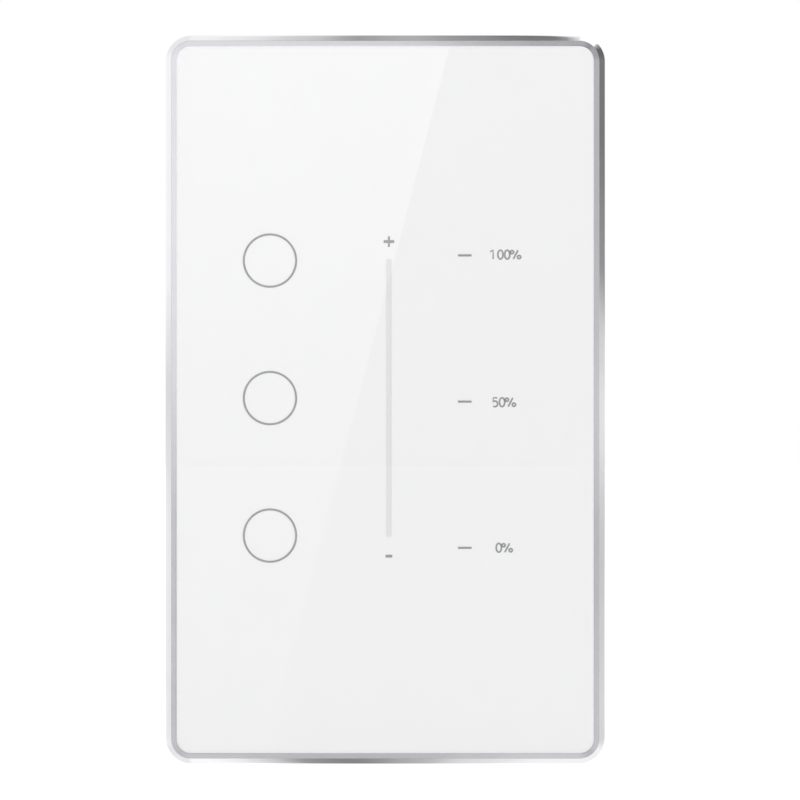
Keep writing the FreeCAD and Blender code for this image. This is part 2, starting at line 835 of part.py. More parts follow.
def make_base_plate():
    body = new_body("base_plate")
    outline = new_sketch(body, "0")
    add_clipped(outline, "base_width", "base_height", "base_clip")
    pad(body, outline, "base_thick")
    rim = new_sketch(body, "base_thick")
    add_clipped(rim, "base_width", "base_height", "base_clip")
    add_rectangle(rim, "0", "0", "base_width - 2 * base_rim", "base_height - 2 * base_rim")
    pad(body, rim, "base_rim_height - base_thick")
    add_base_ribs(body)
    recess = new_sketch(body, "0")
    add_rectangle(recess, "0", "0", "yoke_width + 2 * yoke_fit", "yoke_height + 2 * yoke_fit")
    pocket(body, recess, "yoke_thick", reverse=True)
    strap = new_sketch(body, "0")
    add_rectangle(strap, "0", "0", "strap_width + 2 * yoke_fit", "strap_height + 2 * yoke_fit")
    pocket(body, strap, "yoke_thick", reverse=True)
    windows = new_sketch(body, "base_rim_height")
    add_rectangle(windows, "0", "0", "base_window_width", "base_window_height")
    for sign in ("-", ""):
        add_rectangle(windows, "0", f"{sign}box_pitch / 2", "head_window_width", "head_window_height")
    pocket(body, windows, "base_rim_height")
    add_screw_places(body)
    add_catches(body)


def add_base_ribs(body):
    """A frame of low ribs in line with the housing's walls, with legs to the rim beside the board's screws."""
    ribs = new_sketch(body, "base_thick")
    for sign in ("+", "-"):
        add_rectangle(ribs, "0", "0", f"housing_width {sign} base_rib", f"housing_height {sign} base_rib")
    pad(body, ribs, "base_rib_rise")
    run = "base_height / 2 - base_rim - housing_height / 2 - base_rib / 2"
    place = "boss_across - carrier_screw_head / 2 - base_rib_gap - base_rib / 2"
    legs = new_sketch(body, "base_thick")
    for sign in ("-", ""):
        middle = f"{sign}(housing_height / 2 + base_rib / 2 + ({run}) / 2)"
        add_rectangle(legs, f"-({place})", middle, "base_rib", run)
    made = pad(body, legs, "base_rib_rise")
    grid(body, [made], [("X_Axis", f"2 * ({place})", "2")])


def add_housing_screws(sketch, diameter):
    """Circles at two opposite posts of the housing, where its screws are."""
    add_circle(sketch, "-post_across", "post_up", diameter)
    add_circle(sketch, "post_across", "-post_up", diameter)


def add_screw_places(body):
    """Holes for the housing screws, and a hole over the ground screw."""
    holes = new_sketch(body, "base_thick")
    add_housing_screws(holes, "housing_screw_size + 2 * screw_clearance")
    add_circle(holes, "ground_across", "-ground_drop", "ground_screw_size + 2 * screw_clearance")
    pocket(body, holes, "base_thick")


def add_catches(body):
    """Spring tongues in the rim, each with a ramped catch on its outer face."""
    ridge = new_sketch(body, "-catch_up", "XY_Plane")
    face = "base_width / 2"
    for sign in ("-", ""):
        add_polygon(ridge, [(f"{sign}({face} - base_rim / 2)", "-(catch_height - catch_ramp)"),
                            (f"{sign}({face})", "-(catch_height - catch_ramp)"),
                            (f"{sign}({face} + catch_rise)", "-catch_height"),
                            (f"{sign}({face})", "-(catch_height + catch_ramp)"),
                            (f"{sign}({face} - base_rim / 2)", "-(catch_height + catch_ramp)")])
    catch = pad(body, ridge, "catch_length", both_ways=True)
    grid(body, [catch], [("Z_Axis", "2 * catch_up", "2")])
    slits = new_sketch(body, "base_rim_height")
    for sign in ("-", ""):
        for side in ("-", "+"):
            add_rectangle(slits, f"{sign}({face} - base_rim / 2)",
                          f"-catch_up {side} (catch_length + catch_slit) / 2 {side} catch_play",
                          "base_rim + 2 * catch_play", "catch_slit")
    cut = pocket(body, slits, "base_rim_height - base_thick")
    grid(body, [cut], [("Z_Axis", "2 * catch_up", "2")])


# Yoke: the stamped steel strap that the wall box screws hold

def make_yoke():
    body = new_body("yoke")
    middle = new_sketch(body, "0")
    add_rectangle(middle, "0", "0", "yoke_width", "yoke_height")
    pad(body, middle, "yoke_thick")
    strap = new_sketch(body, "0")
    add_clipped(strap, "strap_width", "strap_height", "strap_clip")
    pad(body, strap, "yoke_thick")
    openings = new_sketch(body, "yoke_thick")
    add_rectangle(openings, "0", "0", "base_window_width", "base_window_height")
    for sign in ("-", ""):
        add_slot(openings, "0", f"{sign}box_pitch / 2", "slot_width", "slot_length")
    add_circle(openings, "ground_across", "-ground_drop", "ground_screw_size + 2 * thread_fit")
    add_housing_screws(openings, "housing_screw_size + 2 * screw_clearance")
    pocket(body, openings, "yoke_thick")


def make_ground_screw():
    body = new_body("ground_screw")
    top = new_sketch(body, "0")
    add_circle(top, "ground_across", "-ground_drop", "ground_head")
    pad(body, top, "ground_head_rise", reverse=True)
    shank = new_sketch(body, "0")
    add_circle(shank, "ground_across", "-ground_drop", "ground_screw_size")
    pad(body, shank, "ground_screw_length")


# Rear housing: the moulded box that goes into the wall, with a bay for the terminals

def make_rear_housing():
    body = new_body("rear_housing")
    outline = new_sketch(body, "0")
    add_rounded(outline, "0", "0", "housing_width", "housing_height", "housing_corner")
    pad(body, outline, "housing_depth", reverse=True)
    soften(body, "Chamfer", front_rim(body, "-housing_depth"), "housing_edge")
    bay = new_sketch(body, "-housing_depth")
    add_rectangle(bay, "0", "bay_top - terminal_bay_height", "bay_width", "2 * terminal_bay_height")
    pocket(body, bay, "housing_depth + bay_floor", reverse=True)
    hollow = new_sketch(body, "0")
    add_rectangle(hollow, "0", "0", "inner_width", "inner_height")
    pocket(body, hollow, "-(bay_floor + housing_wall)")
    well = new_sketch(body, "0")
    add_rectangle(well, "0", "well_middle", "inner_width", "well_height")
    pocket(body, well, "housing_depth - housing_wall")
    add_posts(body)
    add_seats(body)
    add_vents(body)
    slots = new_sketch(body, "bay_floor + housing_wall")
    add_rectangle(slots, "first_pole", "pole_up", "leg_width + 2 * leg_fit", "leg_thick + 2 * leg_fit")
    slot = pocket(body, slots, "housing_wall")
    grid(body, [slot], [("X_Axis", "pole_pitch", "pole_count")])


def add_posts(body):
    """Square posts in the four corners, two of them bored for screws."""
    for sign, foot in (("-", "bay_floor + housing_wall"), ("", "housing_wall - housing_depth")):
        post = new_sketch(body, foot)
        add_rectangle(post, "-post_across", f"{sign}post_up", "2 * post_inset", "2 * post_inset")
        made = pad(body, post, f"-({foot})")
        grid(body, [made], [("X_Axis", "2 * post_across", "2")])
    bore = new_sketch(body, "0")
    add_housing_screws(bore, "housing_screw_size + 2 * thread_fit")
    pocket(body, bore, "housing_screw_length - base_thick + screw_clearance")


def add_seats(body):
    """Upright ribs on the long walls that carry the power board."""
    seat = new_sketch(body, "housing_wall - housing_depth")
    add_rectangle(seat, "seat_width / 2 - inner_width / 2", "seat_low", "seat_width", "seat_width")
    made = pad(body, seat, "power_back - housing_wall + housing_depth")
    grid(body, [made], [("X_Axis", "inner_width - seat_width", "2"), ("Z_Axis", "seat_pitch", "2")])


def add_vents(body):
    """A row of cooling slots through both long walls."""
    vent = new_sketch(body, "vent_low", "XY_Plane")
    add_rectangle(vent, "0", "vent_depth", "2 * housing_width", "vent_length")
    cut = pocket(body, vent, "vent_width", both_ways=True)
    grid(body, [cut], [("Z_Axis", "vent_pitch", "vent_count")])


def make_housing_screws():
    body = new_body("housing_screws")
    top = new_sketch(body, "base_thick")
    add_housing_screws(top, "housing_screw_head")
    pad(body, top, "housing_screw_head_rise")
    shank = new_sketch(body, "base_thick")
    add_housing_screws(shank, "housing_screw_size")
    pad(body, shank, "housing_screw_length", reverse=True)


# Power board: the mains circuit board in the rear housing

def make_power_board():
    body = new_body("power_board")
    outline = new_sketch(body, "power_back")
    add_rectangle(outline, "0", "0", "inner_width - 2 * power_board_fit", "inner_height - 2 * power_board_fit")
    pad(body, outline, "power_board_thick")
    notch = new_sketch(body, "power_front")
    room = "2 * (post_inset + notch_fit)"
    add_rectangle(notch, "-post_across", "-post_up", room, room)
    corner = pocket(body, notch, "power_board_thick")
    grid(body, [corner], [("X_Axis", "2 * post_across", "2"), ("Z_Axis", "2 * post_up", "2")])
    legs = new_sketch(body, "power_front")
    add_rectangle(legs, "first_pole", "pole_up", "leg_width + 2 * leg_fit", "leg_thick + 2 * leg_fit")
    leg = pocket(body, legs, "power_board_thick")
    grid(body, [leg], [("X_Axis", "pole_pitch", "pole_count")])


# Terminals: a block with a steel clamp and a slotted screw in each pole

def make_terminal_block():
    body = new_body("terminal_block")
    outline = new_sketch(body, "block_back")
    add_rectangle(outline, "0", "block_low + block_height / 2", "block_width", "block_height")
    pad(body, outline, "block_depth")
    cavities = new_sketch(body, "block_front")
    add_rectangle(cavities, "first_pole", "pole_up", "cavity_width", "cavity_height")
    cavity = pocket(body, cavities, "cavity_depth")
    accesses = new_sketch(body, "block_back")
    add_circle(accesses, "first_pole", "pole_up", "access_size")
    access = pocket(body, accesses, "block_depth - cavity_depth", reverse=True)
    entries = new_sketch(body, "block_low", "XY_Plane")
    add_rectangle(entries, "first_pole", "-(lug_front - lug_depth / 2)", "wire_entry", "wire_entry")
    entry = pocket(body, entries, "cavity_up - cavity_height / 2", reverse=True)
    grid(body, [cavity, access, entry], [("X_Axis", "pole_pitch", "pole_count")])


def make_terminal_clamps():
    body = new_body("terminal_clamps")
    lug = new_sketch(body, "lug_back")
    add_rectangle(lug, "first_pole", "pole_up", "lug_width", "lug_height")
    block = pad(body, lug, "lug_depth")
    passage = new_sketch(body, "pole_up", "XY_Plane")
    add_rectangle(passage, "first_pole", "-(lug_front - lug_depth / 2)", "lug_width - 2 * lug_wall",
                  "lug_depth - 2 * lug_wall")
    hollow = pocket(body, passage, "2 * lug_height", both_ways=True)
    thread = new_sketch(body, "lug_back")
    add_circle(thread, "first_pole", "pole_up", "terminal_screw_size + 2 * thread_fit")
    bore = pocket(body, thread, "lug_wall", reverse=True)
    leg = new_sketch(body, "lug_front")
    add_rectangle(leg, "first_pole", "pole_up", "leg_width", "leg_thick")
    pin = pad(body, leg, "power_front + leg_fit - lug_front")
    grid(body, [block, hollow, bore, pin], [("X_Axis", "pole_pitch", "pole_count")])


def make_terminal_screws():
    body = new_body("terminal_screws")
    stud = new_sketch(body, "screw_back")
    add_circle(stud, "first_pole", "pole_up", "terminal_screw_size")
    screw = pad(body, stud, "terminal_screw_length")
    grid(body, [screw], [("X_Axis", "pole_pitch", "pole_count")])


# Parts on the power board

def make_heat_sink():
    body = new_body("heat_sink")
    profile = new_sketch(body, "sink_up", "XY_Plane")
    left, toe = "sink_face - sink_thick", "sink_face + sink_foot"
    board, foot, end = "-(power_back)", "sink_thick - power_back", "sink_depth - power_back"
    add_polygon(profile, [(left, board), (toe, board), (toe, foot), ("sink_face", foot), ("sink_face", end),
                          (left, end)])
    pad(body, profile, "well_height - 2 * sink_end", both_ways=True)


def make_triac():
    body = new_body("dimmer_triac")
    case = new_sketch(body, "power_back - sink_thick - triac_gap - triac_depth")
    low = "sink_up - (triac_body + triac_tab) / 2"
    shoulder, top = f"{low} + triac_body", f"{low} + triac_body + triac_tab"
    tab, face = "sink_face + triac_tab_thick", "sink_face + triac_width"
    add_polygon(case, [("sink_face", low), (face, low), (face, shoulder), (tab, shoulder), (tab, top),
                       ("sink_face", top)])
    pad(body, case, "triac_depth")


def make_film_capacitor():
    body = new_body("film_capacitor")
    case = new_sketch(body, "power_back")
    add_rectangle(case, "film_across", "well_middle + film_shift", "film_width", "film_height")
    pad(body, case, "film_depth", reverse=True)
    soften(body, "Chamfer", front_rim(body, "power_back - film_depth"), "film_edge")


def make_cans():
    body = new_body("electrolytic_capacitors")
    circle = new_sketch(body, "power_back")
    add_circle(circle, "-can_pitch / 2", "well_middle + can_shift", "can_size")
    can = pad(body, circle, "can_depth", reverse=True)
    grid(body, [can], [("X_Axis", "can_pitch", "2")])


def make_mains_fuse():
    body = new_body("mains_fuse")
    tube = new_sketch(body, "well_middle + fuse_shift", "XY_Plane")
    add_circle(tube, "fuse_across", "fuse_size / 2 + lead_gap / 2 - power_back", "fuse_size")
    pad(body, tube, "fuse_length", both_ways=True)


def make_transformer():
    core = new_body("transformer_core")
    frame = new_sketch(core, "power_back - core_depth")
    add_rectangle(frame, "0", "core_up", "core_width", "core_height")
    winding = new_body("transformer_winding")
    coil = new_sketch(winding, "power_back - core_depth")
    for sign in ("-", "+"):
        middle = f"core_up {sign} (core_leg + window_height) / 2"
        add_rectangle(frame, "0", middle, "core_width - 2 * core_leg", "window_height")
        add_rectangle(coil, "0", middle, "core_width - 2 * (core_leg + winding_gap)",
                      "window_height - 2 * winding_gap")
    pad(core, frame, "core_depth")
    pad(winding, coil, "core_depth - winding_gap")


def make_chips():
    listed(box("bridge_rectifier", "bridge_across", "well_middle + bridge_shift", "power_front + bridge_thick",
               "bridge_width", "bridge_height", "bridge_thick"))
    listed(box("driver_chip", "driver_across", "well_middle + driver_shift", "power_front + driver_thick",
               "driver_width", "driver_height", "driver_thick"))


def make_varistor():
    body = new_body("varistor")
    disc = new_sketch(body, "power_front + lead_gap / 2")
    add_circle(disc, "varistor_across", "well_middle + varistor_shift", "varistor_size")
    pad(body, disc, "varistor_thick")


# The whole switch

make_glass_panel()
make_panel_frame()
make_print()
make_glass_tape()
make_panel_carrier()
make_touch_board()
make_carrier_screws()
for place, step in (("top", 1), ("middle", 0), ("bottom", -1)):
    button_centre = f"button_rise + {step} * button_pitch"
    make_ring_guide(f"light_guide_{place}", button_centre)
    make_touch_pad(f"touch_pad_{place}", button_centre)
make_slider_guide()
make_lamps()
make_radio()
make_touch_chip()
make_pin_header()
make_base_plate()
make_yoke()
make_ground_screw()
make_rear_housing()
make_housing_screws()
make_power_board()
make_socket_header()
make_terminal_block()
make_terminal_clamps()
make_terminal_screws()
make_heat_sink()
make_triac()
make_film_capacitor()
make_cans()
make_varistor()
make_mains_fuse()
make_transformer()
make_chips()

doc.recompute()
for thing in doc.Objects:
    if "Invalid" in thing.State or "Error" in thing.State:
        raise RuntimeError(f"{thing.Label} did not build: {thing.State}")
for piece in pieces:
    if piece.Shape.isNull() or not piece.Shape.isValid():
        raise RuntimeError(f"{piece.Label} has no sound shape")

os.makedirs("parts", exist_ok=True)
for piece in pieces:
    piece.Shape.exportStep(f"parts/{piece.Label}.step")
    print(f"{piece.Label}: {len(piece.Shape.Solids)} solids, {piece.Shape.Volume:.1f} cubic mm")
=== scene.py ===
import math

import bmesh
import bpy
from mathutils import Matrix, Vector


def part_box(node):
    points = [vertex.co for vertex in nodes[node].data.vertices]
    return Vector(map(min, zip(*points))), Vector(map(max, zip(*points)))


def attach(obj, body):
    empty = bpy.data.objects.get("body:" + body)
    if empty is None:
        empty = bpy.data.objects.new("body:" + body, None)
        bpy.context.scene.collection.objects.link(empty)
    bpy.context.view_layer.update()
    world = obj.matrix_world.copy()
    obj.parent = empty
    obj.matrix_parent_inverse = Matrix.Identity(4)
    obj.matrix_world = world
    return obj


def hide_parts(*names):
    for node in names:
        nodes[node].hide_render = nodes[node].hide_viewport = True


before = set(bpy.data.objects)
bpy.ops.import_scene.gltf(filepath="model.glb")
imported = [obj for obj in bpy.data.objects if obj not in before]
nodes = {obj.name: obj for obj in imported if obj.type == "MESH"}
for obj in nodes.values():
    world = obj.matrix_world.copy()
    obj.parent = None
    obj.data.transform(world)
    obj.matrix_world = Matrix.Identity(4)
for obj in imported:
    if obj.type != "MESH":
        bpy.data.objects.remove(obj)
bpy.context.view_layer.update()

# The room. A long lens looks straight at the glass from the height of its middle. One soft lamp stands in
# front and above, a second on the right and a third behind, and the walls of the room are plain white.
MM = 0.001
EYE = Vector((2.43, -740.8, -0.07)) * MM
WORLD_LIGHT, WORLD_WHITE = 0.545, 1.0

camera = bpy.data.objects.new("camera", bpy.data.cameras.new("camera"))
camera.data.lens = 200
camera.data.clip_start = 0.01
camera.location = EYE
camera.rotation_euler = (math.pi / 2, 0, 0)
bpy.context.scene.collection.objects.link(camera)
bpy.context.scene.camera = camera
bpy.context.scene.view_settings.view_transform = "Standard"


def add_soft_lamp(name, place, size, power):
    """A soft oblong lamp aimed at the switch; it doesn't show in reflections."""
    lamp = bpy.data.lights.new(name, "AREA")
    lamp.shape = "RECTANGLE"
    lamp.size, lamp.size_y = size
    lamp.energy = power
    holder = bpy.data.objects.new(name, lamp)
    holder.location = place
    holder.rotation_euler = (-Vector(place)).to_track_quat("-Z", "Y").to_euler()
    holder.visible_glossy = holder.visible_transmission = False
    bpy.context.scene.collection.objects.link(holder)


add_soft_lamp("key_lamp", (-0.9, -1.3, 1.1), (1.2, 1.2), 7.2)
add_soft_lamp("side_lamp", (1.5, -0.5, 0.5), (1.0, 1.4), 2.6)
add_soft_lamp("back_lamp", (0.7, 1.4, 0.9), (1.0, 1.0), 6)


def feed(tree, socket, given):
    """Gives a socket its value, which is another socket or plain numbers."""
    if isinstance(given, bpy.types.NodeSocket):
        tree.links.new(given, socket)
    else:
        socket.default_value = given


def worked_out(tree, way, *values):
    """One step of arithmetic; gives its result."""
    step = tree.nodes.new("ShaderNodeMath")
    step.operation = way
    for socket, given in zip(step.inputs, values):
        feed(tree, socket, given)
    return step.outputs[0]


def between(tree, source, low, high, start=0.0, stop=1.0):
    """Spreads a value from the range start to stop over the range low to high."""
    spread = tree.nodes.new("ShaderNodeMapRange")
    for label, given in (("Value", source), ("From Min", start), ("From Max", stop), ("To Min", low),
                         ("To Max", high)):
        feed(tree, spread.inputs[label], given)
    return spread.outputs["Result"]


world = bpy.data.worlds.new("white_room")
bpy.context.scene.world = world
world.use_nodes = True
air = world.node_tree
ray = air.nodes.new("ShaderNodeLightPath")
seen = worked_out(air, "MAXIMUM", ray.outputs["Is Camera Ray"], ray.outputs["Is Glossy Ray"])
seen = worked_out(air, "MAXIMUM", seen, ray.outputs["Is Transmission Ray"])
backdrop = air.nodes["Background"]
backdrop.inputs["Color"].default_value = (1, 1, 1, 1)
air.links.new(between(air, seen, WORLD_LIGHT, WORLD_WHITE), backdrop.inputs["Strength"])


# The floor. A pale sheet well below the switch, which hangs on its wall plane. It is lit just to white, so
# that only the shadow of the switch shows on it.
def new_object(name, corners, faces):
    """A mesh of its own from corner points and faces, linked to the scene."""
    mesh = bpy.data.meshes.new(name)
    mesh.from_pydata([tuple(corner) for corner in corners], [], faces)
    made = bpy.data.objects.new(name, mesh)
    bpy.context.scene.collection.objects.link(made)
    return made


def new_material(name, colour=(0.8, 0.8, 0.8), roughness=0.5, metallic=0.0):
    """A material with one Principled shader; gives the material, its nodes and the shader."""
    material = bpy.data.materials.new(name)
    material.use_nodes = True
    surface = material.node_tree.nodes["Principled BSDF"]
    surface.inputs["Base Color"].default_value = (*colour, 1)
    surface.inputs["Roughness"].default_value = roughness
    surface.inputs["Metallic"].default_value = metallic
    return material, material.node_tree, surface


FLOOR = -0.1
floor = new_object("floor", [(-6, -6, FLOOR), (6, -6, FLOOR), (6, 6, FLOOR), (-6, 6, FLOOR)], [(0, 1, 2, 3)])
pale_sheet, tree, surface = new_material("pale_sheet", roughness=0.8)
surface.inputs["Specular IOR Level"].default_value = 0.1
surface.inputs["Emission Color"].default_value = (1, 1, 1, 1)
speck = tree.nodes.new("ShaderNodeTexNoise")
speck.inputs["Scale"].default_value = 9
tree.links.new(between(tree, speck.outputs["Fac"], 0.9, 0.94), surface.inputs["Base Color"])
spread = tree.nodes.new("ShaderNodeVectorMath")
spread.operation = "LENGTH"
tree.links.new(tree.nodes.new("ShaderNodeTexCoord").outputs["Object"], spread.inputs[0])
away = between(tree, spread.outputs["Value"], 0.36, 0.7, 0.15, 0.9)
away.node.interpolation_type = "SMOOTHSTEP"
tree.links.new(away, surface.inputs["Emission Strength"])
floor.data.materials.append(pale_sheet)
floor.visible_glossy = False

# The reflection cards. Matt boards stand round the switch, out of the picture. Only polished things mirror
# them: the four on the sides shade the metal rim, and the one in front has a slanted edge, which is the glare
# on the glass.
CARD_REACH, CARD_RISE, CARD_LONG = 0.25, 0.29, 235
EYE_TO_RIM = 0.733
CARD_STRETCH = 1 + CARD_REACH / EYE_TO_RIM
NEAR, BEVEL_ENDS, LIP_STARTS, FAR = -0.45, -0.108, -0.09, 0.7
FRONT_HALF = 0.3
GLARE_SLOPE, GLARE_FOOT = 0.26, -0.01138
GLARE_LOW, GLARE_HIGH, GLARE_FAINT, GLARE_STRONG = -0.14, 0.12, 0.05, 1.24


def blend_colours(tree, factor, first, second, way="MIX"):
    """Mixes two colours, each a socket or plain numbers."""
    mix = tree.nodes.new("ShaderNodeMix")
    mix.data_type = "RGBA"
    mix.blend_type = way
    for socket, given in ((mix.inputs["Factor"], factor), (mix.inputs[6], first), (mix.inputs[7], second)):
        feed(tree, socket, given)
    return mix.outputs[2]


def place_parts(tree):
    """The place on the object, split into X, Y and Z."""
    split = tree.nodes.new("ShaderNodeSeparateXYZ")
    tree.links.new(tree.nodes.new("ShaderNodeTexCoord").outputs["Object"], split.inputs[0])
    return split.outputs


def lit_card(name, corners):
    """A glowing card that shows in mirror reflections only; gives its nodes, the place on it and its glow."""
    card = new_object(name, corners, [(0, 1, 2, 3)])
    card.visible_camera = card.visible_diffuse = card.visible_shadow = False
    card.visible_transmission = card.visible_volume_scatter = False
    material = bpy.data.materials.new(name)
    material.use_nodes = True
    card.data.materials.append(material)
    tree = material.node_tree
    tree.nodes.clear()
    glow = tree.nodes.new("ShaderNodeEmission")
    tree.links.new(glow.outputs[0], tree.nodes.new("ShaderNodeOutputMaterial").inputs["Surface"])
    return tree, place_parts(tree), glow.inputs


# Each stop is a place on the rim in millimetres and a brightness there. The near part of a card, with the
# first row of stops, is what the bevel of the glass mirrors, and the rest is what the metal lip mirrors.
for name, axis, side, near_stops, stops in (
    ("left_card", "Z", -1,
     [(-60, 0.55), (-25, 0.52), (-10, 0.66), (2, 0.87), (24, 0.95), (90, 0.95)],
     [(-150, 0.97), (-65, 1.05), (-50, 0.99), (-25, 1.02), (0, 0.86), (24, 1.10), (46, 1.12), (65, 1.12),
      (150, 0.98)]),
    ("right_card", "Z", 1,
     [(-90, 0.62), (-46, 0.62), (-25, 0.5), (0, 0.68), (12, 0.58), (46, 0.58), (90, 0.4)],
     [(-150, 1.1), (-55, 0.82), (-25, 0.70), (-2, 0.93), (9, 0.8), (24, 0.34), (46, 0.23), (110, 0.16),
      (145, 0.17), (185, 0.42), (222, 1.05)]),
    ("top_card", "X", 1,
     [(-40, 0.9), (6, 0.94), (14, 0.58), (27, 0.5), (31, 0.3), (90, 0.26)],
     [(-60, 0.99), (-42, 1.02), (-32, 1.1), (-27, 1.01), (-14, 0.74), (-6, 0.41), (4, 0.53), (14, 0.35),
      (25, 0.22), (31, 0.17), (33.5, 1.15), (60, 1.3)]),
    ("low_card", "X", -1,
     [(-90, 0.54), (-27, 0.55), (14, 0.56), (20, 0.62), (28, 0.72), (33, 0.56), (90, 0.5)],
     [(-60, 1.0), (-42, 1.04), (-32, 1.22), (-27, 1.1), (-21, 0.8), (-14.5, 0.36), (-6, 0.28), (5, 0.54),
      (14, 0.88), (28, 1.11), (60, 1.1)]),
):
    reach = CARD_LONG * MM * CARD_STRETCH
    corners = [(side * CARD_REACH, y, end) if axis == "Z" else (end, y, side * CARD_RISE)
               for y, end in ((NEAR, -reach), (FAR, -reach), (FAR, reach), (NEAR, reach))]
    tree, place, glow = lit_card(name, corners)
    along = between(tree, place[axis], 0, 1, -reach, reach)
    rows = []
    for row in (near_stops, stops):
        ramp = tree.nodes.new("ShaderNodeValToRGB")
        ramp.color_ramp.interpolation = "EASE"
        steps = ramp.color_ramp.elements
        while len(steps) < len(row):
            steps.new(0.5)
        for step, (at, bright) in zip(steps, row):
            step.position = (at + CARD_LONG) / (2 * CARD_LONG)
            step.color = (bright / 2, bright / 2, bright / 2 * 1.01, 1)
        tree.links.new(along, ramp.inputs["Fac"])
        rows.append(ramp.outputs["Color"])
    part = between(tree, place["Y"], 0, 1, BEVEL_ENDS, LIP_STARTS)
    tree.links.new(blend_colours(tree, part, *rows), glow["Color"])
    glow["Strength"].default_value = 2

tree, place, glow = lit_card("front_card", [(x * FRONT_HALF, EYE.y, z * FRONT_HALF)
                                            for x, z in ((-1, -1), (1, -1), (1, 1), (-1, 1))])
slant = worked_out(tree, "MULTIPLY_ADD", place["Z"], GLARE_SLOPE, GLARE_FOOT)
lift = between(tree, place["Z"], GLARE_FAINT, GLARE_STRONG, GLARE_LOW, GLARE_HIGH)
tree.links.new(worked_out(tree, "MULTIPLY_ADD", worked_out(tree, "LESS_THAN", place["X"], slant), lift, 1.0),
               glow["Strength"])


# The rear housing. A flame-proof white moulding with a fine spark-eroded grain, which the wall box hides. The
# terminal bay, the vents and the bevelled back edge come from its own solid.
def new_group(name, takes, gives):
    """A shader group with named inputs and outputs; gives the group and its two end nodes."""
    group = bpy.data.node_groups.new(name, "ShaderNodeTree")
    kinds = {"value": "NodeSocketFloat", "colour": "NodeSocketColor", "vector": "NodeSocketVector"}
    for label, kind in takes:
        group.interface.new_socket(label, in_out="INPUT", socket_type=kinds[kind])
    for label, kind in gives:
        group.interface.new_socket(label, in_out="OUTPUT", socket_type=kinds[kind])
    return group, group.nodes.new("NodeGroupInput"), group.nodes.new("NodeGroupOutput")


def noise(tree, place, scale, detail):
    """A noise pattern on a place, with its scale per metre."""
    made = tree.nodes.new("ShaderNodeTexNoise")
    for label, given in (("Vector", place), ("Scale", scale), ("Detail", detail)):
        feed(tree, made.inputs[label], given)
    return made.outputs["Fac"]


moulding, ends, gives = new_group(
    "moulded_skin", [("Colour", "colour"), ("Grain", "value"), ("Gloss", "value")],
    [("Colour", "colour"), ("Roughness", "value"), ("Height", "value")])
spot = moulding.nodes.new("ShaderNodeTexCoord").outputs["Object"]
flow = noise(moulding, spot, 55, 2)
handled = noise(moulding, spot, 240, 4)
moulding.links.new(blend_colours(moulding, between(moulding, flow, 0.0, 0.5), ends.outputs["Colour"],
                                 (0.9, 0.9, 0.88, 1), "MULTIPLY"), gives.inputs["Colour"])
moulding.links.new(worked_out(moulding, "ADD", ends.outputs["Gloss"],
                              between(moulding, handled, -0.06, 0.06)), gives.inputs["Roughness"])
moulding.links.new(noise(moulding, spot, ends.outputs["Grain"], 3), gives.inputs["Height"])


def bumped(tree, surface, height, strength, depth):
    """Roughens a surface by a pattern of height, a depth in millimetres from low to high."""
    bump = tree.nodes.new("ShaderNodeBump")
    bump.inputs["Strength"].default_value = strength
    bump.inputs["Distance"].default_value = depth * MM
    tree.links.new(height, bump.inputs["Height"])
    tree.links.new(bump.outputs["Normal"], surface.inputs["Normal"])


def skinned(name, group, given, strength, depth, metallic=0.0):
    """A material whose colour, roughness and bump come from a shared group, with the values given to it."""
    material, tree, surface = new_material(name, metallic=metallic)
    skin = tree.nodes.new("ShaderNodeGroup")
    skin.node_tree = group
    for label, value in given.items():
        skin.inputs[label].default_value = value
    tree.links.new(skin.outputs["Colour"], surface.inputs["Base Color"])
    tree.links.new(skin.outputs["Roughness"], surface.inputs["Roughness"])
    bumped(tree, surface, skin.outputs["Height"], strength, depth)
    return material


def moulded(name, colour, grain=7000, gloss=0.5, depth=0.03):
    """A moulded plastic with its grain."""
    return skinned(name, moulding, {"Colour": (*colour, 1), "Grain": grain, "Gloss": gloss}, 0.5, depth)


def dress(material, *names):
    """Gives CAD nodes their finish."""
    for name in names:
        for place in nodes[name].material_slots:
            place.material = material


PIN_RADIUS, PIN_EDGE, PIN_DEPTH, PIN_PAINTED_SHADE = 1.78, 0.06, 0.05, 0.97
pin_marks, ends, gives = new_group(
    "ejector_pin_marks", [("Pitch Across", "value"), ("Pitch Up", "value"), ("Shift Across", "value"),
                          ("Shift Up", "value")], [("Mark", "value")])
place = place_parts(pin_marks)
offset = pin_marks.nodes.new("ShaderNodeCombineXYZ")
reach = pin_marks.nodes.new("ShaderNodeVectorMath")
reach.operation = "LENGTH"
for axis, way in (("X", "Across"), ("Z", "Up")):
    moved = worked_out(pin_marks, "ADD", place[axis], ends.outputs[f"Shift {way}"])
    half = worked_out(pin_marks, "DIVIDE", ends.outputs[f"Pitch {way}"], 2)
    pin_marks.links.new(worked_out(pin_marks, "PINGPONG", moved, half), offset.inputs[axis])
pin_marks.links.new(offset.outputs[0], reach.inputs[0])
pin_marks.links.new(between(pin_marks, reach.outputs["Value"], 1.0, 0.0, (PIN_RADIUS - PIN_EDGE) * MM,
                            (PIN_RADIUS + PIN_EDGE) * MM), gives.inputs["Mark"])


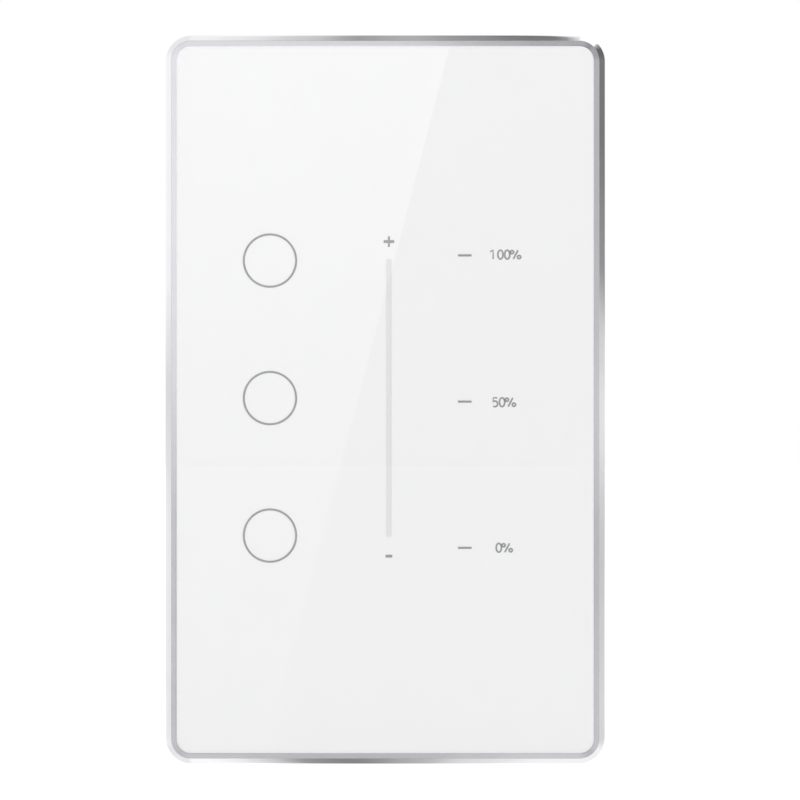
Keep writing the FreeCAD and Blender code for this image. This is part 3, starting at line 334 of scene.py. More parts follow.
def with_pin_marks(material, pitch, shift):
    """Presses in the round marks that ejector pins leave, at a pitch across and up, in millimetres, with
    painted shade in them.
    """
    tree = material.node_tree
    surface = tree.nodes["Principled BSDF"]
    marks = tree.nodes.new("ShaderNodeGroup")
    marks.node_tree = pin_marks
    for name, size in zip(("Pitch Across", "Pitch Up", "Shift Across", "Shift Up"), pitch + shift):
        marks.inputs[name].default_value = size * MM
    dent = tree.nodes.new("ShaderNodeBump")
    dent.invert = True
    dent.inputs["Distance"].default_value = PIN_DEPTH * MM
    tree.links.new(marks.outputs["Mark"], dent.inputs["Height"])
    tree.links.new(dent.outputs["Normal"], surface.inputs["Normal"].links[0].from_node.inputs["Normal"])
    # Each mark is darkened a little: painted shade in the shallow dent, not a colour of the plastic.
    tone = surface.inputs["Base Color"]
    tree.links.new(blend_colours(tree, marks.outputs["Mark"], tone.links[0].from_socket,
                                 (PIN_PAINTED_SHADE, PIN_PAINTED_SHADE, PIN_PAINTED_SHADE, 1), "MULTIPLY"), tone)
    return material


housing_white = moulded("housing_white", (0.80, 0.80, 0.78), 5200, 0.55, 0.05)
dress(with_pin_marks(housing_white, (28, 24), (14, 12)), "rear_housing")


# The terminal block. Grey glass-filled nylon, dropped into the bay from the front, with a square mouth for
# each wire at the bottom, a round screwdriver hole at the back and a groove between the poles.
def held_back(name, mesh):
    """An object from a working mesh, which isn't in the scene yet."""
    made = bpy.data.meshes.new(name)
    mesh.to_mesh(made)
    mesh.free()
    return bpy.data.objects.new(name, made)


terminal_grey = moulded("terminal_grey", (0.16, 0.165, 0.175), 9000, 0.45)
POLES, STUD = 4, 1.6
GROOVE_WIDTH, GROOVE_DEPTH = 0.5, 0.6
low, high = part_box("terminal_screws")
pitch = (high[0] - low[0] - 2 * STUD * MM) / (POLES - 1)
low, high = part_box("terminal_block")
past, deep = 1.0 * MM, GROOVE_DEPTH * MM
turns = [(high[1] - deep, high[2] + past), (high[1] + past, high[2] + past), (high[1] + past, low[2] - past),
         (low[1] - past, low[2] - past), (low[1] - past, low[2] + deep), (high[1] - deep, low[2] + deep)]
mesh = bmesh.new()
for number in range(-POLES // 2, POLES // 2 + 1):
    walls = [[mesh.verts.new((number * pitch + side * GROOVE_WIDTH * MM / 2, y, z)) for y, z in turns]
             for side in (-1, 1)]
    for i in range(len(turns)):
        j = (i + 1) % len(turns)
        mesh.faces.new((walls[0][i], walls[0][j], walls[1][j], walls[1][i]))
    mesh.faces.new(walls[0])
    mesh.faces.new(walls[1][::-1])
bmesh.ops.recalc_face_normals(mesh, faces=mesh.faces)
grooves = held_back("grooves", mesh)
bpy.context.scene.collection.objects.link(grooves)

mesh = bmesh.new()
mesh.from_mesh(nodes["terminal_block"].data)
bmesh.ops.remove_doubles(mesh, verts=mesh.verts[:], dist=1e-6)
block = held_back("grooved_block", mesh)
bpy.context.scene.collection.objects.link(block)
cut = block.modifiers.new("cut", "BOOLEAN")
cut.operation, cut.solver, cut.object = "DIFFERENCE", "EXACT", grooves
bpy.context.view_layer.update()
cut_mesh = bpy.data.meshes.new_from_object(block.evaluated_get(bpy.context.evaluated_depsgraph_get()))
block.modifiers.clear()
block.data = cut_mesh
bpy.data.objects.remove(grooves)
cut_mesh.materials.clear()
cut_mesh.materials.append(terminal_grey)
for face in cut_mesh.polygons:
    face.material_index = 0
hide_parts("terminal_block")
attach(block, "wall_base")


# The metal parts. The strap is stamped from zinc-plated steel sheet, the clamps and the shield from tinned
# sheet; the heat sink is bent aluminium and the pins of the plug are drawn wire with a flash of gold. All are
# faintly clouded and show the lines of the drawing.
metal_skin, ends, gives = new_group(
    "plated_skin", [("Colour", "colour"), ("Lines", "vector"), ("Gloss", "value")],
    [("Colour", "colour"), ("Roughness", "value"), ("Height", "value")])
spot = metal_skin.nodes.new("ShaderNodeTexCoord").outputs["Object"]
pull = metal_skin.nodes.new("ShaderNodeVectorMath")
pull.operation = "MULTIPLY"
metal_skin.links.new(spot, pull.inputs[0])
metal_skin.links.new(ends.outputs["Lines"], pull.inputs[1])
cloud = noise(metal_skin, spot, 330, 4)
metal_skin.links.new(blend_colours(metal_skin, between(metal_skin, cloud, 0.0, 0.55), ends.outputs["Colour"],
                                   (0.78, 0.79, 0.82, 1), "MULTIPLY"), gives.inputs["Colour"])
metal_skin.links.new(worked_out(metal_skin, "ADD", ends.outputs["Gloss"],
                                between(metal_skin, cloud, -0.09, 0.12)), gives.inputs["Roughness"])
metal_skin.links.new(noise(metal_skin, pull.outputs[0], 900, 3), gives.inputs["Height"])


def plated(name, colour, lines=(1, 1, 1), gloss=0.32, depth=0.01, metallic=1.0):
    """A plated or rolled metal with its lines."""
    return skinned(name, metal_skin, {"Colour": (*colour, 1), "Lines": lines, "Gloss": gloss}, 0.4, depth,
                   metallic)


zinc = plated("zinc_steel", (0.62, 0.63, 0.66), (1, 1, 8))
dress(zinc, "yoke")
dress(plated("tinned_steel", (0.66, 0.66, 0.66), (6, 1, 1), 0.28), "terminal_clamps", "radio_shield")
dress(plated("rolled_aluminium", (0.72, 0.72, 0.74), (1, 1, 14), 0.38, 0.02), "heat_sink")
dress(plated("gold_pins", (0.79, 0.56, 0.22), (1, 1, 1), 0.2), "header_pins")


# The screws. Headed and thread-rolled from steel wire and zinc-plated, the earth screw with a green tint: a
# cross recess in the pan heads of the joining screws, a slot in the clamp studs and the earth screw. Each
# kind is one blank, set at its places.
def turned(mesh, profile, sides, close_start, close_end):
    """Adds a turned body to a mesh along +Y from (radius, place) pairs; gives its first ring."""
    rings = []
    for radius, at in profile:
        rings.append([mesh.verts.new((radius * math.cos(2 * math.pi * i / sides), at,
                                      radius * math.sin(2 * math.pi * i / sides))) for i in range(sides)])
    for first, second in zip(rings, rings[1:]):
        for i in range(sides):
            mesh.faces.new((first[i], second[i], second[(i + 1) % sides], first[(i + 1) % sides]))
    if close_start:
        mesh.faces.new(rings[0])
    if close_end:
        mesh.faces.new(list(reversed(rings[-1])))
    return rings[0]


def screw_blank(name, head, rise, shank, length, recess):
    """A screw pointing along +Y, its head's face at y = 0; recess lists the corners sunk into that face."""
    mesh = bmesh.new()
    profile = [(head * 0.86, 0), (head * 0.96, rise * 0.12), (head, rise * 0.35), (head, rise)]
    if shank < head:
        profile.append((shank, rise))
    sides, turns = 32, 8
    for i in range(turns):
        at = rise + length * (i + 0.5) / turns
        profile += [(shank, at), (shank * 0.93, at + length * 0.25 / turns)]
    profile += [(shank * 0.9, rise + length * 0.96), (shank * 0.55, rise + length)]
    rim = turned(mesh, profile, sides, False, True)
    edge = [mesh.verts.new((x, 0, z)) for x, z in recess]
    outer = [mesh.edges.get((rim[i], rim[(i + 1) % sides])) for i in range(sides)]
    inner = [mesh.edges.new((edge[i], edge[(i + 1) % len(edge)])) for i in range(len(edge))]
    bmesh.ops.triangle_fill(mesh, use_beauty=True, use_dissolve=False, edges=outer + inner)
    deep = [mesh.verts.new((v.co.x * 0.8, rise * 0.6, v.co.z * 0.8)) for v in edge]
    for i in range(len(edge)):
        j = (i + 1) % len(edge)
        mesh.faces.new((edge[i], edge[j], deep[j], deep[i]))
    mesh.faces.new(deep)
    bmesh.ops.recalc_face_normals(mesh, faces=mesh.faces)
    return held_back(name, mesh)


def cross(reach, half):
    """The corners of a cross recess."""
    points = []
    for turn in range(4):
        c, s = math.cos(turn * math.pi / 2), math.sin(turn * math.pi / 2)
        for x, z in ((reach, -half), (reach, half), (half, half)):
            points.append((x * c - z * s, x * s + z * c))
    return points


def slot(reach, half):
    """The corners of a plain slot, which stops just short of the rim."""
    return [(-reach, -half), (reach, -half), (reach, half), (-reach, half)]


def placing_tree():
    """Sets one blank at each point, turned by the point's own turn, as one plain mesh with one finish."""
    tree = bpy.data.node_groups.new("set_at_places", "GeometryNodeTree")
    for label, kind in (("Places", "Geometry"), ("Blank", "Object"), ("Finish", "Material")):
        tree.interface.new_socket(label, in_out="INPUT", socket_type=f"NodeSocket{kind}")
    tree.interface.new_socket("Mesh", in_out="OUTPUT", socket_type="NodeSocketGeometry")
    start, end = tree.nodes.new("NodeGroupInput"), tree.nodes.new("NodeGroupOutput")
    blank = tree.nodes.new("GeometryNodeObjectInfo")
    turn = tree.nodes.new("GeometryNodeInputNamedAttribute")
    turn.data_type = "FLOAT_VECTOR"
    turn.inputs["Name"].default_value = "turn"
    set_out = tree.nodes.new("GeometryNodeInstanceOnPoints")
    real = tree.nodes.new("GeometryNodeRealizeInstances")
    finish = tree.nodes.new("GeometryNodeSetMaterial")
    tree.links.new(start.outputs["Places"], set_out.inputs["Points"])
    tree.links.new(start.outputs["Blank"], blank.inputs["Object"])
    tree.links.new(blank.outputs["Geometry"], set_out.inputs["Instance"])
    tree.links.new(turn.outputs["Attribute"], set_out.inputs["Rotation"])
    tree.links.new(set_out.outputs["Instances"], real.inputs["Geometry"])
    tree.links.new(real.outputs["Geometry"], finish.inputs["Geometry"])
    tree.links.new(start.outputs["Finish"], finish.inputs["Material"])
    tree.links.new(finish.outputs["Geometry"], end.inputs["Mesh"])
    return tree


def grown(name, base, tree, smooth=False, **given):
    """Runs a geometry tree on a base object and keeps what comes out as one plain mesh."""
    bpy.context.scene.collection.objects.link(base)
    work = base.modifiers.new("grow", "NODES")
    work.node_group = tree
    for item in tree.interface.items_tree:
        if item.in_out == "INPUT" and item.name in given:
            work[item.identifier] = given[item.name]
    bpy.context.view_layer.update()
    seen_from = base.evaluated_get(bpy.context.evaluated_depsgraph_get())
    mesh = bpy.data.meshes.new_from_object(seen_from)
    bpy.data.objects.remove(base)
    made = bpy.data.objects.new(name, mesh)
    bpy.context.scene.collection.objects.link(made)
    for face in mesh.polygons:
        face.use_smooth = smooth
    return made


set_at_places = placing_tree()


def set_out(name, blank, places, finish):
    """One mesh of a blank at each place; a place is a point and a turn in radians."""
    points = bpy.data.meshes.new(name)
    points.from_pydata([tuple(point) for point, _ in places], [], [])
    turns = points.attributes.new("turn", "FLOAT_VECTOR", "POINT")
    for number, (_, turn) in enumerate(places):
        turns.data[number].vector = turn
    base = bpy.data.objects.new(name, points)
    if blank.name not in bpy.context.scene.collection.objects:
        bpy.context.scene.collection.objects.link(blank)
    made = grown(name, base, set_at_places, Blank=blank, Finish=finish)
    bpy.context.scene.collection.objects.unlink(blank)
    return made


def corners_of(node):
    """A node's box in plain numbers: left, right, front, back, low, high."""
    low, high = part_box(node)
    return low[0], high[0], low[1], high[1], low[2], high[2]


left, right, front, back, low, high = corners_of("housing_screws")
head = 2.5 * MM
housing_blank = screw_blank("housing_blank", head, 1.0 * MM, 1.28 * MM, 11.8 * MM, cross(1.25 * MM, 0.3 * MM))
screws = set_out("joining_screws", housing_blank, [((left + head, front, high - head), (0, 0.4, 0)),
                                                   ((right - head, front, low + head), (0, 1.1, 0))], zinc)
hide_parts("housing_screws")
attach(screws, "wall_base")

left, right, front, back, low, high = corners_of("carrier_screws")
head = 1.8 * MM
carrier_blank = screw_blank("carrier_blank", head, 0.9 * MM, 0.98 * MM, 2.05 * MM,
                            cross(0.95 * MM, 0.24 * MM))
screws = set_out("board_screws", carrier_blank,
                 [((left + head, back, high - head), (0, 0.7, math.pi)),
                  ((right - head, back, low + head), (0, 0.2, math.pi))], zinc)
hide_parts("carrier_screws")
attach(screws, "front_panel")

left, right, front, back, low, high = corners_of("terminal_screws")
stud = STUD * MM
stud_blank = screw_blank("stud_blank", stud, 1.4 * MM, stud * 0.97, 5.5 * MM, slot(1.3 * MM, 0.24 * MM))
screws = set_out("clamp_screws", stud_blank,
                 [((left + stud + i * pitch, back, (low + high) / 2), (0, 0.5 + 0.8 * i, math.pi))
                  for i in range(POLES)], zinc)
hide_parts("terminal_screws")
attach(screws, "wall_base")

left, right, front, back, low, high = corners_of("ground_screw")
green = plated("green_screw", (0.06, 0.33, 0.12), (1, 1, 1), 0.34, metallic=0.8)
earth_blank = screw_blank("earth_blank", (right - left) / 2, 2.0 * MM, 1.47 * MM, 1.75 * MM,
                          slot(2.3 * MM, 0.35 * MM))
screws = set_out("earth_screw", earth_blank,
                 [(((left + right) / 2, back, (low + high) / 2), (0, 0.3, math.pi))], green)
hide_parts("ground_screw")
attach(screws, "wall_base")


# The circuit boards. Green solder mask over copper on woven glass: the tracks under the mask stand up a hair
# and look a shade lighter. Round its parts the touch board has an open mesh of copper, which screens the
# touch fields.
COPPER_GREEN = (0.016, 0.175, 0.07)
mask_skin, ends, gives = new_group(
    "solder_mask", [("Colour", "colour")],
    [("Colour", "colour"), ("Roughness", "value"), ("Height", "value")])
spot = mask_skin.nodes.new("ShaderNodeTexCoord").outputs["Object"]
threads = []
for direction in ("X", "Z"):
    wave = mask_skin.nodes.new("ShaderNodeTexWave")
    wave.bands_direction = direction
    wave.inputs["Scale"].default_value = 620
    wave.inputs["Distortion"].default_value = 0.5
    mask_skin.links.new(spot, wave.inputs["Vector"])
    threads.append(wave.outputs["Fac"])
pooled = noise(mask_skin, spot, 120, 3)
mask_skin.links.new(blend_colours(mask_skin, between(mask_skin, pooled, 0.0, 0.5), ends.outputs["Colour"],
                                  (0.78, 0.86, 0.8, 1), "MULTIPLY"), gives.inputs["Colour"])
mask_skin.links.new(between(mask_skin, pooled, 0.22, 0.4), gives.inputs["Roughness"])
mask_skin.links.new(worked_out(mask_skin, "MAXIMUM", *threads), gives.inputs["Height"])


def copper_mesh(tree, pitch, width, middle, half):
    """Slanted lines of copper both ways, except in an oblong of the board; all in millimetres."""
    place = place_parts(tree)
    lines, inside = [], []
    for way in ("ADD", "SUBTRACT"):
        slant = worked_out(tree, way, place["X"], place["Z"])
        lines.append(worked_out(tree, "LESS_THAN", worked_out(tree, "PINGPONG", slant, pitch * MM / 2),
                                width * MM / 2))
    for axis, at, reach in zip("XZ", middle, half):
        inside.append(worked_out(tree, "COMPARE", place[axis], at * MM, reach * MM))
    outside = worked_out(tree, "SUBTRACT", 1.0, worked_out(tree, "MULTIPLY", *inside))
    return worked_out(tree, "MULTIPLY", worked_out(tree, "MAXIMUM", *lines), outside)


def masked(name, colour, screen=None):
    """Solder mask; a screen gives the copper mesh under it."""
    material = skinned(name, mask_skin, {"Colour": (*colour, 1)}, 0.3, 0.012)
    if screen:
        tree = material.node_tree
        base = tree.nodes["Principled BSDF"].inputs["Base Color"]
        tree.links.new(blend_colours(tree, copper_mesh(tree, *screen), base.links[0].from_socket,
                                     (*COPPER_GREEN, 1)), base)
    return material


MASK_GREEN = (0.008, 0.105, 0.042)
dress(masked("board_green", MASK_GREEN), "power_board", "radio_module")
dress(masked("screened_green", MASK_GREEN, (2.4, 0.42, (-2.5, -3.5), (19.5, 24))), "touch_board")
track_green = masked("track_green", COPPER_GREEN)


def ribbon_tree():
    """Lays a thin flat ribbon along each path, with square ends."""
    tree = bpy.data.node_groups.new("ink_along_paths", "GeometryNodeTree")
    for label, kind in (("Paths", "Geometry"), ("Width", "Float"), ("Thickness", "Float"),
                        ("Finish", "Material")):
        tree.interface.new_socket(label, in_out="INPUT", socket_type=f"NodeSocket{kind}")
    tree.interface.new_socket("Mesh", in_out="OUTPUT", socket_type="NodeSocketGeometry")
    start, end = tree.nodes.new("NodeGroupInput"), tree.nodes.new("NodeGroupOutput")
    face = tree.nodes.new("GeometryNodeSetCurveNormal")
    face.mode = "FREE"
    face.inputs["Normal"].default_value = (0, 1, 0)
    section = tree.nodes.new("GeometryNodeCurvePrimitiveQuadrilateral")
    sweep = tree.nodes.new("GeometryNodeCurveToMesh")
    sweep.inputs["Fill Caps"].default_value = True
    real = tree.nodes.new("GeometryNodeRealizeInstances")
    finish = tree.nodes.new("GeometryNodeSetMaterial")
    tree.links.new(start.outputs["Paths"], face.inputs["Curve"])
    tree.links.new(face.outputs["Curve"], sweep.inputs["Curve"])
    tree.links.new(start.outputs["Width"], section.inputs["Height"])
    tree.links.new(start.outputs["Thickness"], section.inputs["Width"])
    tree.links.new(section.outputs["Curve"], sweep.inputs["Profile Curve"])
    tree.links.new(sweep.outputs["Mesh"], real.inputs["Geometry"])
    tree.links.new(real.outputs["Geometry"], finish.inputs["Geometry"])
    tree.links.new(start.outputs["Finish"], finish.inputs["Material"])
    tree.links.new(finish.outputs["Geometry"], end.inputs["Mesh"])
    return tree


along_paths = ribbon_tree()


def ribbons(name, strokes, height, width, thickness, finish):
    """Ribbons of ink or copper along strokes, which lie at a height above the wall."""
    line = bpy.data.curves.new(name, "CURVE")
    line.dimensions = "3D"
    for stroke in strokes:
        spline = line.splines.new("POLY")
        closed = len(stroke) > 3 and math.dist(stroke[0], stroke[-1]) < 1e-6
        points = stroke[:-1] if closed else stroke
        spline.points.add(len(points) - 1)
        for point, (x, z) in zip(spline.points, points):
            point.co = (x * MM, -height * MM, z * MM, 1)
        spline.use_cyclic_u = closed
    return grown(name, bpy.data.objects.new(name, line), along_paths, Width=width * MM,
                 Thickness=thickness * MM, Finish=finish)


def track(x0, z0, x1, z1):
    """A track's path from one point to another: straight along the longer way, then slanting."""
    across, up = x1 - x0, z1 - z0
    slant = min(abs(across), abs(up))
    if abs(across) > abs(up):
        return [(x0, z0), (x1 - math.copysign(slant, across), z0), (x1, z1)]
    return [(x0, z0), (x0, z1 - math.copysign(slant, up)), (x1, z1)]


def oblong(left, right, low, high):
    """A closed path round an oblong, from its sides in millimetres."""
    return [(left, low), (right, low), (right, high), (left, high), (left, low)]


COPPER = 0.035
board_back = -corners_of("touch_board")[3] / MM
board_face = -corners_of("power_board")[2] / MM
module_back = -corners_of("radio_module")[3] / MM
chip = [side / MM for side in corners_of("touch_chip")]
chip_x, chip_z = (chip[0] + chip[1]) / 2, (chip[4] + chip[5]) / 2
plug = [side / MM for side in corners_of("pin_header")]
module = [side / MM for side in corners_of("radio_module")]
RINGS_X, BESIDE = -18.98, 3.75
RING_ROWS = (22.88, 0.24, -22.4)
fine_tracks, wide_tracks, eyes = [], [], []
for row, pin, side in zip(RING_ROWS, (3.1, 0.7, -2.5), (1, 1, -1)):
    fine_tracks.append(track(chip[0] - 1, chip_z + pin, RINGS_X, row))
    fine_tracks.append([(RINGS_X - BESIDE, row - 3.2), (RINGS_X - BESIDE, row - 5.4)])
    eyes += [(RINGS_X, row), (RINGS_X - BESIDE, row - 3.2), (RINGS_X + BESIDE, row + 3.4 * side)]
for i in range(8):
    end = (chip_x + (i - 3.5) * 3.4, -33 - 0.8 * (i % 2))
    fine_tracks.append(track(chip_x + (i - 3.5) * 0.8, chip[4] - 1, *end))
    eyes.append(end)
for i in range(5):
    fine_tracks.append(track(plug[1], plug[4] + 1.27 + 2.54 * i, module[0], module[4] + 1.5 + 2.54 * i))
    fine_tracks.append(track(chip[1] + 1, chip_z + (i - 2) * 0.8, 16.5, chip_z + (i - 2) * 2.6))
    eyes.append((16.5, chip_z + (i - 2) * 2.6))
wide_tracks.append(track(plug[0], plug[4] + 1.27, -26.5, -12))
wide_tracks.append([(plug[0], plug[5] - 1.27), (plug[0], 5.5), (plug[0] - 10, 15.5), (-26.5, 15.5)])
wide_tracks.append([(module[1], -4), (18.5, -4), (26, -11.5), (26, -30)])
wide_tracks.append([(module[1], 9), (17, 9), (26, 18), (26, 34)])
eyes += [(-26.5, -12), (-26.5, 15.5), (26, -30), (26, 34)]
power_tracks = [track(14.1, 11.5, 18, 20), track(-6.7, -7, 2, -20), track(13.6, -6, 18, -18),
                track(-12.4, -2, -18, -16), track(-11.3, 9.5, -18, 20)]
aerial = [(module[0] + 1.2, 11.6)]
for i in range(6):
    x, z = module[0] + 1.8 + 2.3 * i, 12.2 if i % 2 else 17.2
    aerial += [(x, z), (x + 1.6, z)]
for name, paths, height, width, body in (
    ("touch_tracks", fine_tracks, board_back - COPPER / 2, 0.28, "front_panel"),
    ("feed_tracks", wide_tracks, board_back - COPPER / 2, 1.0, "front_panel"),
    ("aerial_track", [aerial], module_back - COPPER / 2, 0.6, "front_panel"),
    ("power_tracks", power_tracks, board_face + COPPER / 2, 1.3, "wall_base"),
):
    laid = ribbons(name, paths, height, width, COPPER, track_green)
    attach(laid, body)

legend_white = moulded("legend_white", (0.8, 0.8, 0.8), 9000, 0.6, 0.01)
outlines = [oblong(chip[0] - 1.3, chip[1] + 1.3, chip[4] - 1.3, chip[5] + 1.3),
            oblong(plug[0] - 0.6, plug[1] + 0.6, plug[4] - 0.6, plug[5] + 0.6),
            oblong(module[0] - 0.6, module[1] + 0.6, module[4] - 0.6, module[5] + 0.6)]
legend = ribbons("board_legend", outlines, board_back - COPPER - 0.01, 0.16, 0.02, legend_white)
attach(legend, "front_panel")


# The eyes and pads. Gold-plated rings where a track goes through the board, and the soldered pads that hold
# the radio module.
def block_blank(name, blocks, edge):
    """Small blocks with broken edges; a block is its middle and its three sizes, all in millimetres."""
    mesh = bmesh.new()
    for middle, size in blocks:
        corners = bmesh.ops.create_cube(mesh, size=1.0)["verts"]
        for corner in corners:
            corner.co = [(at + side * part) * MM for at, side, part in zip(middle, size, corner.co)]
    bmesh.ops.bevel(mesh, geom=mesh.edges[:], offset=edge * MM, segments=1, affect="EDGES")
    return held_back(name, mesh)


gold = plated("gold_plate", (0.80, 0.58, 0.24), (1, 1, 1), 0.24)
mesh = bmesh.new()
EYE_HOLE, EYE_RIM, EYE_THICK = 0.16 * MM, 0.36 * MM, 0.045 * MM
turned(mesh, [(EYE_HOLE, 0), (EYE_HOLE, EYE_THICK), (EYE_RIM, EYE_THICK), (EYE_RIM, 0), (EYE_HOLE, 0)], 14,
       False, False)
bmesh.ops.remove_doubles(mesh, verts=mesh.verts[:], dist=1e-7)
bmesh.ops.recalc_face_normals(mesh, faces=mesh.faces)
eye_blank = held_back("eye_blank", mesh)
pad_blank = block_blank("pad_blank", [((0, 0, 0), (1.1, 0.04, 0.7))], 0.01)
pads = [((side * MM, -(module_back - 0.02) * MM, (module[4] + 1.6 + 1.27 * i) * MM), (0, 0, 0))
        for side in (module[0] + 0.55, module[1] - 0.55) for i in range(12)]
rims = [((x * MM, -board_back * MM, z * MM), (0, 0, 0)) for x, z in eyes]
for name, blank, places in (("board_eyes", eye_blank, rims), ("module_pads", pad_blank, pads)):
    made = set_out(name, blank, places, gold)
    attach(made, "front_panel")

# The small chip parts. Resistors and capacitors the size of a grain of rice, in ceramic, soldered flat by
# their tinned ends.
grain_blank = block_blank("grain_blank", [((0, 0.22, 0), (1.1, 0.44, 0.78))], 0.03)
ends_blank = block_blank("ends_blank", [((x, 0.23, 0), (0.3, 0.46, 0.82)) for x in (-0.66, 0.66)], 0.04)
UPRIGHT = math.pi / 2
touch_spots = [(-2.2, -11.6, 0), (-2.2, -14.8, 0), (-2.2, -18, 0), (12.6, -21.6, UPRIGHT),
               (10.2, -21.6, UPRIGHT), (-4.6, 12.2, UPRIGHT), (-4.6, 15.4, UPRIGHT), (15.2, 0, UPRIGHT),
               (15.2, 3.5, UPRIGHT), (15.2, 6.8, UPRIGHT), (-14.9, -6.2, UPRIGHT), (-14.4, 0.6, UPRIGHT),
               (-6.2, 5.2, 0), (-9.2, 5.2, 0)]
touch_spots += [(RINGS_X - BESIDE, row - 6.2, UPRIGHT) for row in RING_ROWS]
power_spots = [(15.6, 3.2, UPRIGHT), (15.6, 6.4, UPRIGHT), (1.8, 5.4, UPRIGHT), (1.8, 8.6, UPRIGHT),
               (1.8, 11.8, UPRIGHT), (-4.2, 3.6, 0), (-1.2, 3.6, 0), (-14.6, 4.6, UPRIGHT)]
chip_ink = moulded("chip_part_black", (0.035, 0.033, 0.034), 9000, 0.35, 0.01)
tin = plated("tinned_ends", (0.70, 0.70, 0.71), (1, 1, 1), 0.3)
for name, blank, finish, slot_name in (("grains", grain_blank, chip_ink, "black_plastic"),
                                       ("grain_ends", ends_blank, tin, "tinned_steel")):
    for side, spots, height, over, body in (("touch", touch_spots, board_back, 0, "front_panel"),
                                            ("power", power_spots, board_face, math.pi, "wall_base")):
        made = set_out(f"{side}_{name}", blank, [((x * MM, -height * MM, z * MM), (over, turn, 0))
                                                 for x, z, turn in spots], finish)
        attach(made, body)

# The black parts. Chips, bridge, triac and the two halves of the plug, in moulded resin and filled nylon. The
# chips stand on bent tinned legs, and a pale dot marks the corner of their first leg.
black = moulded("black_resin", (0.022, 0.022, 0.024), 12000, 0.42, 0.015)
dress(black, "touch_chip", "bridge_rectifier", "driver_chip", "dimmer_triac", "pin_header", "socket_header")


def leg_blank(name, out, rise, width, thickness):
    """One bent leg that leaves a chip along +X and stands on y = 0, with the chip towards +Y."""
    line = [(-0.15, rise), (out * 0.3, rise), (out * 0.5, thickness), (out, thickness)]
    under = [(-0.15, rise - thickness), (out * 0.22, rise - thickness), (out * 0.42, 0), (out, 0)]
    mesh = bmesh.new()
    walls = [[mesh.verts.new((x * MM, y * MM, side * width / 2 * MM)) for x, y in line + under[::-1]]
             for side in (-1, 1)]
    count = len(walls[0])
    for i in range(count):
        j = (i + 1) % count
        mesh.faces.new((walls[0][i], walls[0][j], walls[1][j], walls[1][i]))
    for i in range(3):
        for wall in walls:
            mesh.faces.new((wall[i], wall[i + 1], wall[count - 2 - i], wall[count - 1 - i]))
    bmesh.ops.recalc_face_normals(mesh, faces=mesh.faces)
    return held_back(name, mesh)


def legs_round(node, sides, count, pitch, foot, over):
    """Places for legs on some sides of a chip; foot is the board's face and over turns them to it."""
    left, right, front, back, low, high = corners_of(node)
    x, z = (left + right) / 2, (low + high) / 2
    places = []
    for side in sides:
        turn = side * math.pi / 2
        reach = (right - left) / 2 if side % 2 == 0 else (high - low) / 2
        for i in range(count):
            along = (i - (count - 1) / 2) * pitch * MM
            places.append(((x + reach * math.cos(turn) + along * math.sin(turn), -foot * MM,
                            z - reach * math.sin(turn) + along * math.cos(turn)), (over, turn, 0)))
    return places


BOTH_SIDES = (0, 2)
for node, legs, sides, count, pitch, foot, over, body in (
    ("touch_chip", ("touch_leg", 1.0, 0.55, 0.34, 0.14), range(4), 8, 0.8, board_back, 0, "front_panel"),
    ("driver_chip", ("driver_leg", 1.3, 1.1, 0.42, 0.2), BOTH_SIDES, 8, 1.27, board_face, math.pi,
     "wall_base"),
    ("bridge_rectifier", ("bridge_leg", 1.2, 1.2, 1.1, 0.25), BOTH_SIDES, 2, 5.08, board_face, math.pi,
     "wall_base"),
):
    blank = leg_blank(*legs)
    made = set_out(f"{node}_legs", blank, legs_round(node, sides, count, pitch, foot, over), tin)
    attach(made, body)

mesh = bmesh.new()
turned(mesh, [(0.42 * MM, 0), (0.42 * MM, 0.012 * MM)], 20, True, True)
bmesh.ops.recalc_face_normals(mesh, faces=mesh.faces)
dot_blank = held_back("dot_blank", mesh)
mark_grey = moulded("mark_grey", (0.36, 0.36, 0.36), 9000, 0.6, 0.01)
for node, over, body in (("touch_chip", 0, "front_panel"), ("driver_chip", math.pi, "wall_base")):
    left, right, front, back, low, high = corners_of(node)
    face = back if over == 0 else front
    spot = (left + 1.1 * MM, face, high - 1.1 * MM)
    made = set_out(f"{node}_dot", dot_blank, [(spot, (over, 0, 0))], mark_grey)
    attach(made, body)

# The parts of the power side. A cast yellow film capacitor, two sleeved cans, a dipped disc, a ceramic fuse
# and a small transformer on its ferrite core, all soldered to the power board.
dress(moulded("yellow_film", (0.74, 0.44, 0.03), 2500, 0.3, 0.02), "film_capacitor", "transformer_winding")
dress(moulded("can_sleeve", (0.02, 0.024, 0.045), 1500, 0.25, 0.01), "electrolytic_capacitors")
dress(moulded("blue_coat", (0.02, 0.07, 0.3), 1800, 0.28, 0.06), "varistor")
dress(moulded("fuse_ceramic", (0.68, 0.67, 0.64), 3000, 0.3, 0.02), "mains_fuse")
dress(moulded("ferrite", (0.045, 0.045, 0.048), 6000, 0.6, 0.06), "transformer_core")

# The base plate and the panel carrier. Both are moulded in the same satin white plastic; the plate stays on
# the wall, and the carrier's tapered skirt is what shows round the side of the panel.
plate_white = moulded("plate_white", (0.82, 0.82, 0.80), 6500, 0.46, 0.02)
dress(with_pin_marks(plate_white, (26, 25), (0, 0)), "base_plate")
dress(moulded("carrier_white", (0.82, 0.82, 0.80), 6500, 0.46, 0.02), "panel_carrier")


